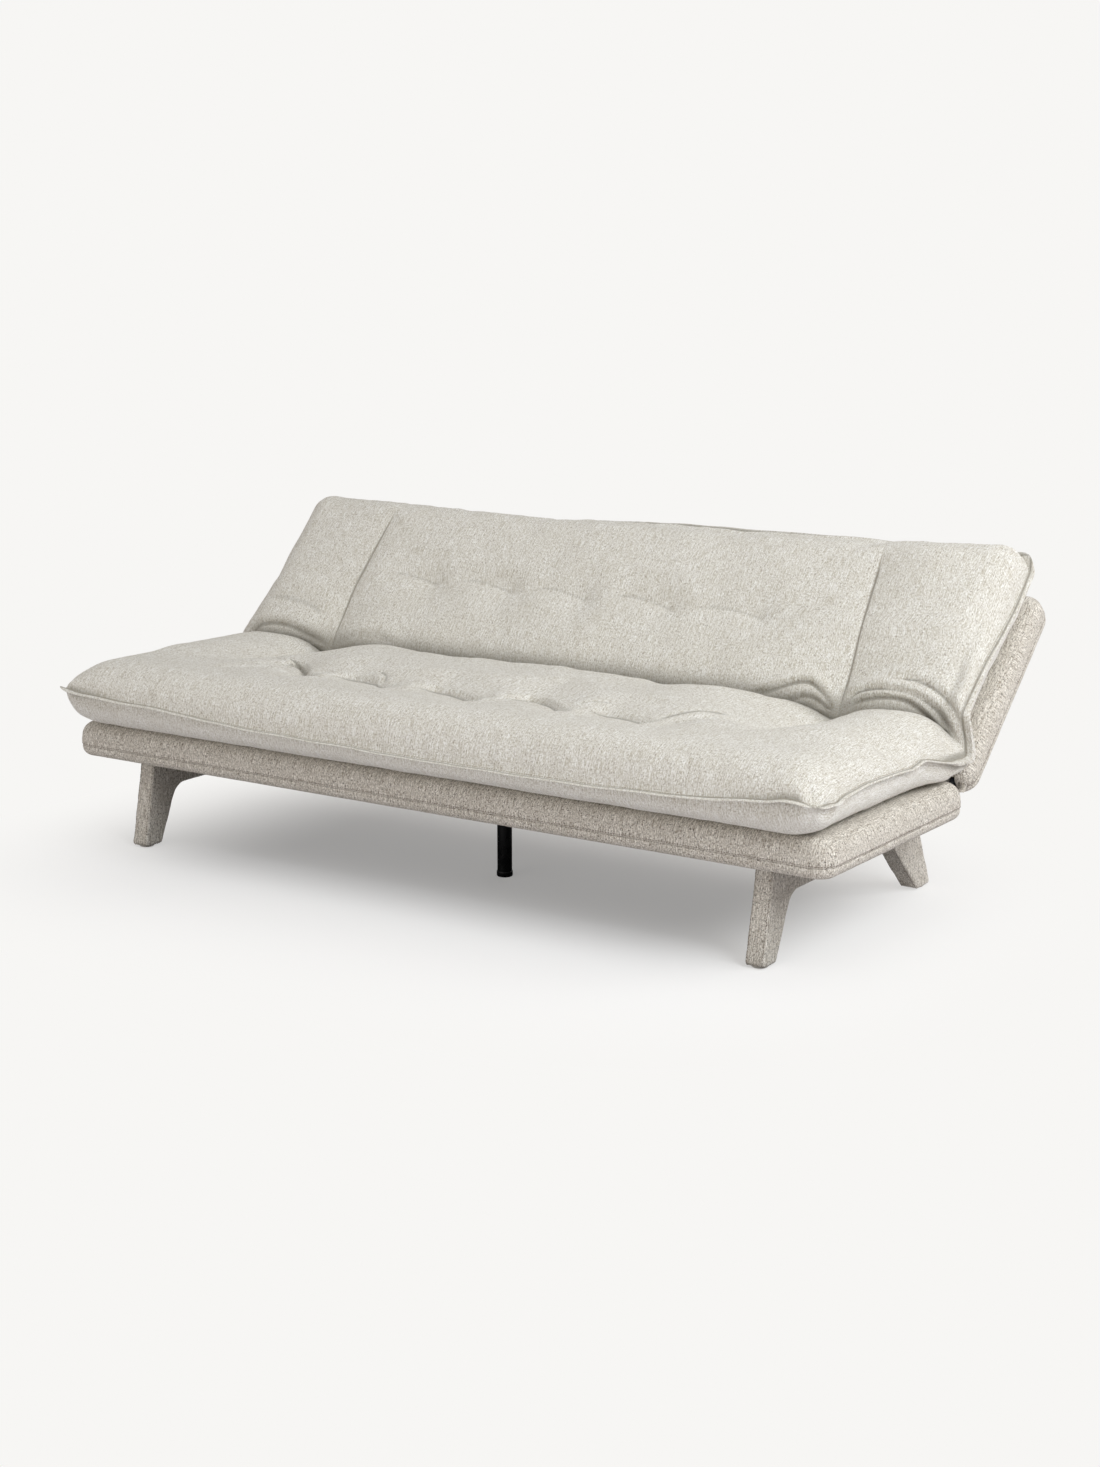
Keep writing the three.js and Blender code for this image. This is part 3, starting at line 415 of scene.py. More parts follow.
def tuft_drop(half, x, v):
    """How far the sewn row pulls the top down: a wide channel, its crease and the tufts."""
    line, strength = crease_line(half, x)
    away = v - line
    first, last = half.tufts[0], half.tufts[-1]
    begun = smooth_step(x, first - channel_fade_in, first)
    between = begun * (1 - smooth_step(x, last, last + channel_fade_out))
    width = np.where(away > 0, half.channel_front, half.channel_rear)
    drop = between * half.channel * bell(away, width)
    width = np.where(away > 0, half.crease_front, half.crease_rear)
    drop = drop + strength * half.crease_depth * bell(away, width)
    for tuft in half.tufts:
        from_tuft = np.hypot(x - tuft, v - half.tuft_reach)
        drop = drop + half.tuft_depth * bell(from_tuft, half.tuft_radius)
        drop = drop + 0.5 * half.tuft_depth * bell(from_tuft, tuft_pinch)
    return drop


def seam_lean(on_back, v):
    """How far the seam of an end panel has leaned in, at a distance from the hinge axis."""
    return np.where(on_back, panel_lean * smooth_step(v, 0.12, 0.56), 0)


def seam_shown(half, v):
    """The seam of an end panel lies open near the fold and almost closes further out."""
    share, start, end = half.seam_close
    return 1 - share * smooth_step(v, start, end)


def panel_valley(half, x, v):
    """The seam of an end panel: a fine line, and a valley where it runs into the crease."""
    away = np.abs(x) - panel_seam
    width = np.where(away > 0, valley_outer, valley_inner)
    depth = half.seam_valley * (1 - smooth_step(v, valley_start, half.valley_end))
    valley = depth * np.exp(-((np.abs(away) / width) ** valley_power))
    line = sum(deep * bell(away, wide) for deep, wide in seam_line)
    return valley + seam_shown(half, v) * line


def top_level(half, x, v):
    """Height of the mattress's top above the plane of its half."""
    flange = flange_level(half, x)
    full = half.corner_fullness * smooth_step(v, *corner_along) * smooth_step(x, *corner_across)
    end_rise = shoulder(end_seam - np.abs(x), half.end_shoulder, 2 + full)
    outer_rise = shoulder(half.reach - flange_width - v, half.outer_shoulder, 2 + full)
    rise = end_rise * outer_rise
    fall = half.crease_fall * np.cos(np.minimum(v / half.reach, 1) * math.pi / 2) ** 2
    level = flange + flange_thickness / 2 + (mattress_base + half.crown - flange - fall) * rise
    crest = bell(x - crest_place, crest_width) * smooth_step(v, *crest_along)
    level = level + rise * half.corner_rise * crest
    return level - tuft_drop(half, x, v) - rise * panel_valley(half, x, v)


def under_level(half, x, v):
    """Height of its underside, flat on the slab and rising to the flange."""
    flange = flange_level(half, x) - flange_thickness / 2
    end_rise = shoulder(end_seam - np.abs(x), under_shoulder, 2.5)
    outer_rise = shoulder(half.reach - flange_width - v, under_shoulder, 2.5)
    return flange - (flange - mattress_base) * end_rise * outer_rise


def row_reach(half, level, row):
    """Distance from the hinge axis of a row, at one level."""
    crease = level / math.tan(math.radians(half.crease_deg))
    return crease + (half.reach - flange_width - crease) * row


def round_corners(x, y, half_x, half_y, radius):
    """Draws the corners of a rectangle about the origin in to round ones."""
    out_x = np.abs(x) - half_x + radius
    out_y = np.abs(y) - half_y + radius
    inside = (out_x > 0) & (out_y > 0)
    length = np.maximum(np.hypot(out_x, out_y), 1e-9)
    left = np.where(inside, 1 - np.maximum(out_x, out_y) / length, 0)
    return x - np.sign(x) * out_x * left, y - np.sign(y) * out_y * left


def half_points(half, x, rows, layer):
    """Points of one half. rows run from the fold to the seam of the flange, and then the strip
    of the flange crosses to its edge."""
    row_shares = np.concatenate([rows, np.ones(len(strip_shares))])
    x_grid, row_grid = np.meshgrid(x, row_shares, indexing="ij")
    out_v = np.concatenate([np.zeros(len(rows)), strip_shares])[None, :] * np.ones_like(x_grid)
    out_x = np.clip((np.abs(x_grid) - end_seam) / flange_width, 0, 1)
    if layer > 0:
        level = np.full_like(x_grid, mattress_base + half.crown)
        for _ in range(settle_steps):
            level = top_level(half, x_grid, row_reach(half, level, row_grid))
    else:
        level = under_level(half, x_grid, row_reach(half, mattress_base, row_grid))
    v = row_reach(half, level, row_grid)
    out = np.maximum(out_v, out_x)
    lip = layer * flange_thickness / 2 * np.sqrt(np.clip(1 - out**4, 0, 1))
    level = np.where(out > 0, flange_level(half, x_grid) + lip, level)
    v = v + out_v * flange_width
    x_round, v_round = round_corners(x_grid, v, mattress_end, half.reach, mattress_corner_radius)
    ends = np.abs(x_grid) / mattress_end
    v_round = v_round - side_draw * row_grid * (1 - ends**2)
    x_round = x_round - side_draw * 4 * row_grid * (1 - row_grid) * np.sign(x_grid) * ends**4
    near_seam = bell(np.abs(x_grid) - panel_seam, 0.10)
    x_round = x_round - np.sign(x_grid) * seam_lean(half.direction > 0, v) * near_seam
    return np.stack([x_round, half.direction * v_round, level], axis=-1)


def turn_back(points):
    """Turns points drawn with the back lying flat up to its place at rest."""
    cos, sin = math.cos(rest_turn), math.sin(rest_turn)
    y, z = points[..., 1], points[..., 2]
    return np.stack([points[..., 0], y * cos - z * sin, y * sin + z * cos], axis=-1)


def hermite(start, end, leave, arrive, share):
    s = share[None, :, None]
    start, end, leave, arrive = (p[:, None, :] for p in (start, end, leave, arrive))
    return (
        (2 * s**3 - 3 * s**2 + 1) * start
        + (s**3 - 2 * s**2 + s) * leave
        + (3 * s**2 - 2 * s**3) * end
        + (s**3 - s**2) * arrive
    )


def quadratic(start, middle, end, share):
    s = share[None, :, None]
    start, middle, end = (p[:, None, :] for p in (start, middle, end))
    return (1 - s) ** 2 * start + 2 * s * (1 - s) * middle + s**2 * end


def lengths_of(vectors):
    return np.linalg.norm(vectors, axis=-1)[:, None]


def unit(vectors):
    return vectors / np.maximum(np.linalg.norm(vectors, axis=-1, keepdims=True), 1e-9)


def fold_points(seat, back, x, steps):
    """The top from the seat into the crease and up the back, with a roll on each side."""
    seat_edge, back_edge = seat[:, -1], back[:, 0]
    rise = shoulder(end_seam - np.abs(x), seat_half.end_shoulder)[:, None]
    seam_drop = fold_seam_drop * bell(np.abs(x) - panel_seam, fold_seam_width)
    valley_level = mattress_base + fold_valley - seam_drop
    valley = np.stack([x, np.full_like(x, -fold_valley_back), valley_level], axis=-1)
    end = np.stack([x, np.full_like(x, fold_end[0]), np.full_like(x, fold_end[1])], axis=-1)
    crease = (1 - rise) * end + rise * valley
    seat_run = unit(seat_edge - seat[:, -2]) * lengths_of(crease - seat_edge)
    back_run = unit(back[:, 1] - back_edge) * lengths_of(crease - back_edge)
    down, up = unit(np.array([0, 0.45, -1.0])), unit(np.array([0, -0.62, 1.0]))
    end_in, end_out = unit(np.array([0, 1.0, 0.1])), unit(np.array([0, 0.35, 0.9]))
    seat_in = lengths_of(seat_run) * ((1 - rise) * end_in + rise * down)
    back_out = lengths_of(back_run) * ((1 - rise) * end_out + rise * up)
    share = np.linspace(0, 1, steps + 1)
    into = hermite(seat_edge, crease, seat_run * 1.25, seat_in * 1.1, share)
    out = hermite(crease, back_edge, back_out * 1.1, back_run * 1.25, share)
    return into[:, 1:], out[:, 1:-1]


def under_fold_points(seat, back, x, steps):
    """The underside from the seat to the back, round the corner at the hinge or lower at the
    ends."""
    rise = shoulder(end_seam - np.abs(x), under_shoulder)
    bend = -mattress_base * math.tan(rest_turn / 2)
    y = fold_end_under[0] * (1 - rise) + bend * rise
    z = fold_end_under[1] * (1 - rise) + mattress_base * rise
    share = np.linspace(0, 1, 2 * steps + 1)[1:-1]
    path = quadratic(seat[:, -1], np.stack([x, y, z], axis=-1), back[:, 0], share)
    return path[:, :steps], path[:, steps:]


def wave_flange(points):
    """Lifts and drops the sewn lip where the cover gathers, and where the fold draws it down."""
    x, y, z = points[..., 0], points[..., 1], points[..., 2]
    reach = y * math.cos(rest_turn) + z * math.sin(rest_turn)
    behind = smooth_step(y + 0.43 * z, 0.030, 0.060)
    at_end = smooth_step(np.abs(x), end_seam - 0.045, end_seam)
    seat_seam, back_seam = seat_half.reach - flange_width, back_half.reach - flange_width
    at_front = smooth_step(-y, seat_seam - 0.03, seat_seam)
    at_top = smooth_step(reach, back_seam - 0.03, back_seam)
    around = np.where(at_end > at_front, y, x)
    ripple_places = [around.ravel() * 11, np.sign(x).ravel(), np.zeros(x.size)]
    ripple = 0.0022 * noise_array(np.stack(ripple_places, axis=1), 1.0, 3.0).reshape(x.shape)
    front = at_front * (1 - at_end * (1 - at_front)) * through(x, front_lip)
    from_hinge = smooth_step(-y, 0.0, 0.070)
    end = at_end * (1 - at_front) * (1 - behind) * from_hinge * through(-y, seat_end_lip)
    tip = 0.009 * bell(np.hypot(x + mattress_end, y + seat_half.reach), 0.06)
    lip = np.maximum(np.maximum(at_end * (1 - bell(y + 0.02, 0.05)), at_front), at_top)
    lift = lip * (ripple + tip) + front + end
    out = at_end * behind * smooth_step(reach, 0.075, 0.110) * through(reach, back_end_lip)
    out = out * np.where(x > 0, 1.0, 0.1)
    out = out + at_top * through(x, back_top_lip)
    points[..., 1] = y - math.sin(rest_turn) * out
    points[..., 2] = z + lift + math.cos(rest_turn) * out
    return points


def graded(start, end, spacing):
    """Places from start to end, as far apart at each place as spacing says."""
    fine = np.linspace(start, end, 600)
    steps = np.cumsum(np.gradient(fine) / spacing(fine))
    steps -= steps[0]
    count = round(steps[-1])
    return np.interp(np.linspace(0, steps[-1], count + 1), steps, fine)


def mattress_stations(spread):
    """Places along X with a row of points, close together at the seams."""

    def spacing(x):
        at_seam = 0.0078 * bell(x - panel_seam, 0.012)
        at_end = 0.0083 * smooth_step(x, end_seam - 0.10, end_seam)
        return spread * (0.0100 - at_seam - at_end)

    right = np.concatenate([graded(0, end_seam, spacing), end_seam + flange_width * strip_shares])
    return np.concatenate([-right[:0:-1], right])


def half_rows(half, spread):
    """Rows from the fold to the seam of the flange, as shares of that way, close together at
    the sewn row, at the flange and at the folds."""
    crease = (mattress_base + half.crown) / math.tan(math.radians(half.crease_deg))
    seam = half.reach - flange_width
    bow = max(half.bows)

    def spacing(v):
        at_line = 0.0070 * bell(v - half.tuft_reach + bow / 2, 0.020 + bow)
        at_seam = 0.0092 * smooth_step(v, seam - half.outer_shoulder, seam)
        at_folds = 0.0045 * bell(v - half.fold_rows, 0.05)
        return spread * (0.0108 - at_line - at_seam - at_folds)

    return (graded(crease, seam, spacing) - crease) / (seam - crease)


def mattress_sheets(spread):
    """Top and underside as grids of points with one plan, from the front to the top flange, the
    places of their columns along X, and those of their rows along the cloth."""
    x = mattress_stations(spread)
    steps = round(fold_steps / spread)
    seat_rows, back_rows = half_rows(seat_half, spread), half_rows(back_half, spread)
    sheets = []
    for layer, fold_layer in ((1, fold_points), (-1, under_fold_points)):
        seat = half_points(seat_half, x, seat_rows, layer)[:, ::-1]
        back = turn_back(half_points(back_half, x, back_rows, layer))
        into, out = fold_layer(seat, back, x, steps)
        sheets.append(wave_flange(np.concatenate([seat, into, out, back], axis=1)))
    fold = np.linspace(-1, 1, 2 * steps + 1)[1:-1]
    seat_along = -np.concatenate([seat_rows, 1 + strip_shares])[::-1] - 1
    back_along = np.concatenate([back_rows, 1 + strip_shares]) + 1
    return sheets, x, np.concatenate([seat_along, fold, back_along])


def arc_lengths(sheet):
    """Distances along the cloth, across from its middle column and along from its first row."""
    across = np.linalg.norm(np.diff(sheet, axis=0), axis=-1)
    across = np.concatenate([np.zeros((1, sheet.shape[1])), np.cumsum(across, axis=0)])
    across = across - across[sheet.shape[0] // 2]
    along = np.linalg.norm(np.diff(sheet, axis=1), axis=-1)
    along = np.concatenate([np.zeros((sheet.shape[0], 1)), np.cumsum(along, axis=1)], axis=1)
    return across, along


def corner_block(grid, order):
    """The four corners of each face of a grid, in order or turned over."""
    return [grid[:-1, :-1], grid[1:, :-1], grid[1:, 1:], grid[:-1, 1:]][::order]


def pillow_faces(columns, rows):
    """Point numbers of the two sheets, which share the points round their edge."""
    index_top = np.arange(columns * rows).reshape(columns, rows)
    index_under = np.full((columns, rows), -1)
    inner = np.arange((columns - 2) * (rows - 2)).reshape(columns - 2, rows - 2)
    index_under[1:-1, 1:-1] = inner + columns * rows
    for edge in (np.s_[0, :], np.s_[-1, :], np.s_[:, 0], np.s_[:, -1]):
        index_under[edge] = index_top[edge]
    both = ((1, index_top), (-1, index_under))
    return [np.stack(corner_block(index, order), axis=-1).reshape(-1, 4) for order, index in both]


def pillow(name, top, under):
    """One closed skin over the two sheets."""
    faces = np.concatenate(pillow_faces(*top.shape[:2])).tolist()
    points = np.concatenate([top.reshape(-1, 3), under[1:-1, 1:-1].reshape(-1, 3)])
    return mesh_object(name, points + np.array(hinge), faces)


def lay_weave(piece, top, under):
    """Lays the weave along the cloth of both sheets."""
    corners = []
    for sheet, order, shift in ((top, 1, 0), (under, -1, 3)):
        across, along = arc_lengths(sheet)
        flat = np.stack([across, along + shift], axis=-1)
        corners.append(np.stack(corner_block(flat, order), axis=2).reshape(-1, 2))
    layer = piece.data.uv_layers.new(name="UVMap")
    layer.data.foreach_set("uv", np.concatenate(corners).astype(np.float32).ravel())


def keep_plan(piece, count):
    """Notes each point's place before the cloth swells, and its layer, 1 on top."""
    places = vertex_array(piece) - np.array(hinge)
    layer = np.where(np.arange(len(places)) < count, 1, -1)
    for name, values in (("plan", places), ("layer", np.stack([layer] * 3, axis=1))):
        noted = piece.data.attributes.new(name, "FLOAT_VECTOR", "POINT")
        noted.data.foreach_set("vector", values.astype(np.float32).ravel())


def take_plan(piece, name):
    noted = piece.data.attributes[name]
    values = vector_array(noted.data, "vector")
    piece.data.attributes.remove(noted)
    return values


# Where the mattress is sewn
def from_crease(places):
    """Distance of each point from the line of the fold."""
    return np.hypot(places[:, 1] + fold_valley_back, places[:, 2] - crease_height)


def halves(places):
    """Which points are on the back, and how far each is from the hinge axis along its half."""
    past_y = (places[:, 1] + fold_valley_back) * fold_behind[0]
    behind = past_y + (places[:, 2] - crease_height) * fold_behind[1]
    reach = places[:, 1] * math.cos(rest_turn) + places[:, 2] * math.sin(rest_turn)
    return behind > 0, np.where(behind > 0, reach, -places[:, 1])


def sewn_share(places, width):
    """1 on a seam, a tuft or a sewn crease, and 0 away from them."""
    on_back, reach = halves(places)
    x = places[:, 0]
    share = bell(np.abs(x) - panel_seam + seam_lean(on_back, reach), width)
    for mask, half in ((~on_back, seat_half), (on_back, back_half)):
        share[mask] *= seam_shown(half, reach[mask])
        line, strength = crease_line(half, x[mask])
        shown = strength * bell(reach[mask] - line, 1.6 * width)
        for tuft in half.tufts:
            from_tuft = np.hypot(x[mask] - tuft, reach[mask] - half.tuft_reach)
            shown = np.maximum(shown, bell(from_tuft, 2 * width))
        share[mask] = np.maximum(share[mask], half.sewn_shade * shown)
    return share


def seam_paths(top, x, along):
    """The seam that closes the flange, and those of the end panels, up the back and over the
    front of the seat."""
    edge = len(strip_shares)
    ring = [top[edge:-edge, edge], top[-edge - 1, edge:-edge], top[edge:-edge, -edge - 1][::-1]]
    ring.append(top[edge, edge:-edge][::-1])
    paths = [np.concatenate(ring + [ring[0][:1]])]
    on_back = (along > 1.0) & (along < 1.80)
    on_seat = (along < -1.93) & (along > -2.0)
    for side in (-1, 1):
        column = int(np.argmin(np.abs(x - side * panel_seam)))
        paths += [top[column, on_back], top[column, on_seat]]
    return [path + np.array(hinge) for path in paths]


# Swelling of the mattress
def held_shares(places, top_shape):
    """How firmly the simulation holds each point: at the seams, the tufts, the fold and the rim,
    and all of the underside."""
    held = sewn_share(places, 0.008)
    held = np.maximum(held, 0.9 * bell(from_crease(places), 0.03))
    rim = np.ones(top_shape)
    edge = len(strip_shares)
    rim[edge:-edge, edge:-edge] = 0
    held[rim.size:] = 1
    held[:rim.size] = np.maximum(held[:rim.size], rim.ravel())
    return held


def run_cloth(piece, held):
    """Blows a piece up as cloth, pinned as firmly as held says, and applies the result."""
    group = piece.vertex_groups.new(name="held")
    for index, weight in enumerate(held):
        group.add([index], float(0.04 + 0.96 * weight), "REPLACE")
    cloth = piece.modifiers.new("cloth", "CLOTH")
    settings = cloth.settings
    settings.quality = 5
    settings.tension_stiffness = settings.compression_stiffness = 14
    settings.shear_stiffness = 6
    settings.bending_stiffness = 0.4
    settings.vertex_group_mass = group.name
    settings.use_pressure = True
    settings.uniform_pressure_force = 4
    settings.shrink_min = -0.008
    settings.effector_weights.gravity = 0
    cloth.collision_settings.use_collision = False
    cloth.point_cache.frame_start = 1
    cloth.point_cache.frame_end = swell_frames
    for moment in range(1, swell_frames + 1):
        bpy.context.scene.frame_set(moment)
    apply_modifiers(piece)


def swell():
    """Lets a coarse copy of the mattress swell, and gives the move of each point of its top."""
    (top, under), x, along = mattress_sheets(swell_spread)
    coarse = pillow("coarse", top, under)
    places = vertex_array(coarse) - np.array(hinge)
    count = top.shape[0] * top.shape[1]
    run_cloth(coarse, held_shares(places, top.shape[:2]))
    moved = (vertex_array(coarse) - np.array(hinge) - places)[:count]
    bpy.data.objects.remove(coarse)
    bpy.context.scene.frame_set(1)
    length = np.linalg.norm(moved, axis=1, keepdims=True)
    moved = moved * np.minimum(1, swell_cap / np.maximum(length, 1e-9))
    _, reach = halves(top.reshape(-1, 3))
    low_front = 1 - 0.94 * smooth_step(reach.reshape(top.shape[:2]), 0.37, 0.45)
    share = np.where(along > 0, back_swell, seat_swell * low_front)
    return moved.reshape(*top.shape) * share[..., None], x, along


def spread_moves(moved, coarse_x, coarse_along, x, along):
    """The moves of the coarse grid, carried over to the fine one."""
    columns = range(moved.shape[1])
    layers = []
    for k in range(3):
        across = np.stack([np.interp(x, coarse_x, moved[:, j, k]) for j in columns], axis=1)
        layers.append(np.stack([np.interp(along, coarse_along, row) for row in across]))
    return np.stack(layers, axis=-1)


# Folds and puckers of the mattress
def curve_through(points, steps=16):
    """A smooth curve through points in a plane."""
    ends = [np.array(p) for p in (points[0], *points, points[-1])]
    curve = []
    for a, b, c, d in zip(ends, ends[1:], ends[2:], ends[3:]):
        for t in np.arange(steps) / steps:
            straight = 2 * b + (c - a) * t
            bend = (2 * a - 5 * b + 4 * c - d) * t**2
            twist = (3 * b - a - 3 * c + d) * t**3
            curve.append(0.5 * (straight + bend + twist))
    return np.array(curve + [ends[-1]])


def fold_height(flat, points, depth, width, swell_side):
    """Height of one fold over points of a plane: a crease with a soft roll on one side."""
    curve = curve_through(points)
    reach = 5 * width
    near = np.all((flat > curve.min(0) - reach) & (flat < curve.max(0) + reach), axis=1)
    height = np.zeros(len(flat))
    if not near.any():
        return height
    away = flat[near][:, None, :] - curve[None, :, :]
    distance = np.hypot(away[..., 0], away[..., 1])
    closest = distance.argmin(1)
    run = np.gradient(curve, axis=0)[closest]
    offset = away[np.arange(len(closest)), closest]
    side = np.sign(run[:, 0] * offset[:, 1] - run[:, 1] * offset[:, 0]) * swell_side
    signed = distance.min(1) * side
    share = closest / (len(curve) - 1)
    fade = smooth_step(share, 0, 0.22) * (1 - smooth_step(share, 0.78, 1))
    profile = 0.75 * bell(signed - 2.3 * width, 1.7 * width) - bell(signed, width)
    height[near] = depth * fade * profile
    return height


def add_filling(height, places, reach, from_seam, on_top, on_back):
    """Adds the puckers along the seams and the slow unevenness of the filling."""
    inner = smooth_step(from_seam, 0.0, 0.05)
    puckers = noise_array(places * np.array([1, 1, 0.2]), 30, 4.0) * 0.0022
    height += puckers * smooth_step(from_seam, 0.0, 0.008) * bell(from_seam, 0.05)
    slow = noise_array(places, 5.5, 7.0) * 0.0050 + noise_array(places, 13.0, 9.0) * 0.0015
    height += slow * inner * np.where(on_top, 1, 0.25)
    lumps = noise_array(places * np.array([1, 0.2, 0.2]), 7.5, 2.0) * 0.010
    height += lumps * inner * np.where(on_top & ~on_back, bell(reach - 0.13, 0.10), 0)


def painted_shade_and_light(places, painted_crease_shade, from_seam, on_top, on_lip):
    """Painted shade: how dark each point's cloth is drawn where shade falls in a seam, a tuft, a
    crease, the fold and on the back's top lip; and painted light that makes the underside paler.
    """
    inner = smooth_step(from_seam, 0.0, 0.05)
    # painted shade in the seams, tufts and sewn creases, and in the creases of the folds
    shade = np.maximum(0.9 * sewn_share(places, 0.0034) * inner, 0.85 * painted_crease_shade)
    # painted shade in the groove above the flange seam
    shade = np.maximum(shade, 0.9 * bell(from_seam, 0.0030))
    # painted shade in the fold where the seat meets the back
    shade = np.maximum(shade, 0.9 * bell(from_crease(places), 0.050) * inner)
    # painted shade on the back's top lip
    shade = np.maximum(shade, 0.40 * on_lip)
    # the underside: painted shade at its seam, and below 0 painted light that makes it paler,
    # standing in for light from the floor
    under = 0.7 * bell(from_seam, 0.0025) - smooth_step(from_seam, 0, 0.012)
    return np.where(on_top, shade, under)


def mattress_folds(piece):
    """Lays the folds, the puckers and the filling on the mattress, and stores the painted shade
    of its seams, creases and fold and the painted light of its underside.
    """
    places = take_plan(piece, "plan")
    on_top = take_plan(piece, "layer")[:, 0] > 0
    normals = normal_array(piece)
    on_back, reach = halves(places)
    flat = np.stack([places[:, 0], reach], axis=1)
    height = np.zeros(len(places))
    for mask, folds in ((on_top & on_back, back_folds), (on_top & ~on_back, seat_folds)):
        for fold in folds:
            height[mask] += fold_height(flat[mask], *fold)
    # painted shade in the creases of the folds
    painted_crease_shade = smooth_step(-height, 0.0006, 0.0045)
    outer = np.where(on_back, back_half.reach, seat_half.reach) - flange_width
    from_seam = np.minimum(end_seam - np.abs(places[:, 0]), outer - reach)
    add_filling(height, places, reach, from_seam, on_top, on_back)
    moved = vertex_array(piece) + normals * height[:, None]
    on_lip = on_back & (outer - reach < 0)
    shade = painted_shade_and_light(places, painted_crease_shade, from_seam, on_top, on_lip)
    set_vertices(piece, moved)
    # stores the painted shade and painted light for the cloth's colour
    keep_painted_shade_and_light(piece, shade)


def build_mattress():
    """The mattress and the paths of its seams."""
    (top, under), x, along = mattress_sheets(1)
    mattress = pillow("mattress", top, under)
    count = top.shape[0] * top.shape[1]
    keep_plan(mattress, count)
    moves = np.zeros((len(mattress.data.vertices), 3))
    moves[:count] = spread_moves(*swell(), x, along).reshape(-1, 3)
    set_vertices(mattress, vertex_array(mattress) + moves)
    lay_weave(mattress, top, under)
    smoother = mattress.modifiers.new("smoother", "SUBSURF")
    smoother.levels = smoother.render_levels = 1
    apply_modifiers(mattress)
    mattress_folds(mattress)
    return mattress, seam_paths(top, x, along)


# Sewing thread
def stitch_shape(length, radius):
    """One stitch along its first axis: a short round bar with blunt ends."""
    turns = np.arange(stitch_sides) * math.pi / 3
    rings = []
    for along, girth in stitch_stations:
        across, up = radius * girth * np.cos(turns), radius * girth * np.sin(turns)
        rings.append(np.stack([np.full(stitch_sides, along * length), across, up], axis=1))
    last = (len(stitch_stations) - 1) * stitch_sides
    faces = ring_faces(len(stitch_stations), stitch_sides) + end_faces(stitch_sides, last)
    return np.concatenate(rings), faces


def stitch_place(piece, path, lengths, at):
    """Where one stitch lies on the surface of a piece, and how it is turned."""
    before, after = (
        Vector([np.interp(at + step, lengths, path[:, k]) for k in range(3)])
        for step in (-stitch_reach, stitch_reach)
    )
    _, place, normal, _ = piece.closest_point_on_mesh((before + after) / 2)
    run = after - before
    run = (run - normal * run.dot(normal)).normalized()
    return place, normal, Matrix((run, normal.cross(run), normal)).transposed()


def stitch(name, piece, paths, pitch, length, radius, sink):
    """A row of stitches along each path, laid on the surface of a piece."""
    shape, shape_faces = stitch_shape(length, radius)
    points, faces = [], []
    for path in paths:
        steps = np.linalg.norm(np.diff(path, axis=0), axis=1)
        lengths = np.concatenate([[0], np.cumsum(steps)])
        for at in np.arange(pitch / 2, lengths[-1], pitch):
            place, normal, turn = stitch_place(piece, path, lengths, at)
            base = len(points) * len(shape)
            lifted = np.array(place + normal * (radius - sink))
            points.append(shape @ np.array(turn).T + lifted)
            faces += [tuple(base + i for i in face) for face in shape_faces]
    sewn = mesh_object(name, np.concatenate(points), faces)
    box_uv(sewn)
    return sewn


# Upholstered slabs
def plan_ring(low, high, inset, radius):
    """A rectangle with round corners, as points in order, seen from above."""
    radius = max(radius, 0.004)
    left, right = -slab_end + inset, slab_end - inset
    near, far = low + inset, high - inset
    corners = [(right, far, 0), (left, far, 90), (left, near, 180), (right, near, 270)]
    ring = []
    for i, (x, y, turn) in enumerate(corners):
        centre = (x - math.copysign(radius, x), y - (radius if y == far else -radius))
        for step in range(corner_steps + 1):
            angle = math.radians(turn + 90 * step / corner_steps)
            across, up = radius * math.cos(angle), radius * math.sin(angle)
            ring.append((centre[0] + across, centre[1] + up))
        start = ring[-1]
        after = corners[(i + 1) % 4]
        if i % 2 == 0:
            end = (after[0] - math.copysign(radius, after[0]), start[1])
        else:
            end = (start[0], after[1] - (radius if after[1] == far else -radius))
        for step in range(1, ring_steps[i % 2]):
            share = step / ring_steps[i % 2]
            ring.append(tuple(a + (b - a) * share for a, b in zip(start, end)))
    return ring


def slab_section():
    """Inset and level of the cover from its turned hem, round the side and on to the top."""
    edge, under = slab_edge_radius, slab_under_radius
    section = [(cloth_turn, slab_bottom), (hem_inner, slab_bottom)]
    for step in range(9):
        turn = math.radians(90 * step / 8)
        inset = under * (1 - math.sin(turn))
        section.append((inset, slab_bottom + under * (1 - math.cos(turn))))
    section += [(inset, slab_seam + rise) for inset, rise in seam_groove]
    section.append((-side_bulge, slab_top - edge - bulge_end))
    for step in range(11):
        turn = math.radians(90 * step / 10)
        inset = edge * (1 - math.cos(turn))
        section.append((inset, slab_top - edge * (1 - math.sin(turn))))
    return section + [(inset, slab_top) for inset in top_insets]


def slab_skin(name, slab):
    """The cover of a slab, without thickness."""
    points = []
    section = slab_section()
    for inset, level in section:
        ring = plan_ring(slab.low, slab.high, inset, slab_corner_radius - inset)
        points += [(x, y, level) for x, y in ring]
    count = len(ring)
    last = (len(section) - 1) * count
    return mesh_object(name, points, ring_faces(len(section), count) + end_faces(count, last)[1:])


def slab_wrinkles(piece, seed):
    """Low waves of the stretched cloth, strongest on the sides, and painted shade along its seam
    groove.
    """
    places = vertex_array(piece)
    normals = normal_array(piece)
    side_seam = (np.abs(places[:, 2] - slab_seam) < 1e-5).astype(np.float32)
    # painted shade on the ring of points at the seam groove
    keep_painted_shade_and_light(piece, 0.6 * side_seam)
    side = 1 - np.abs(normals[:, 2])
    waves = noise_array(places * np.array([1, 1, 0.35]), 26, seed) * 0.0010
    waves += noise_array(places, 9, seed + 3) * 0.0012
    set_vertices(piece, places + normals * (waves * (0.25 + 0.75 * side))[:, None])


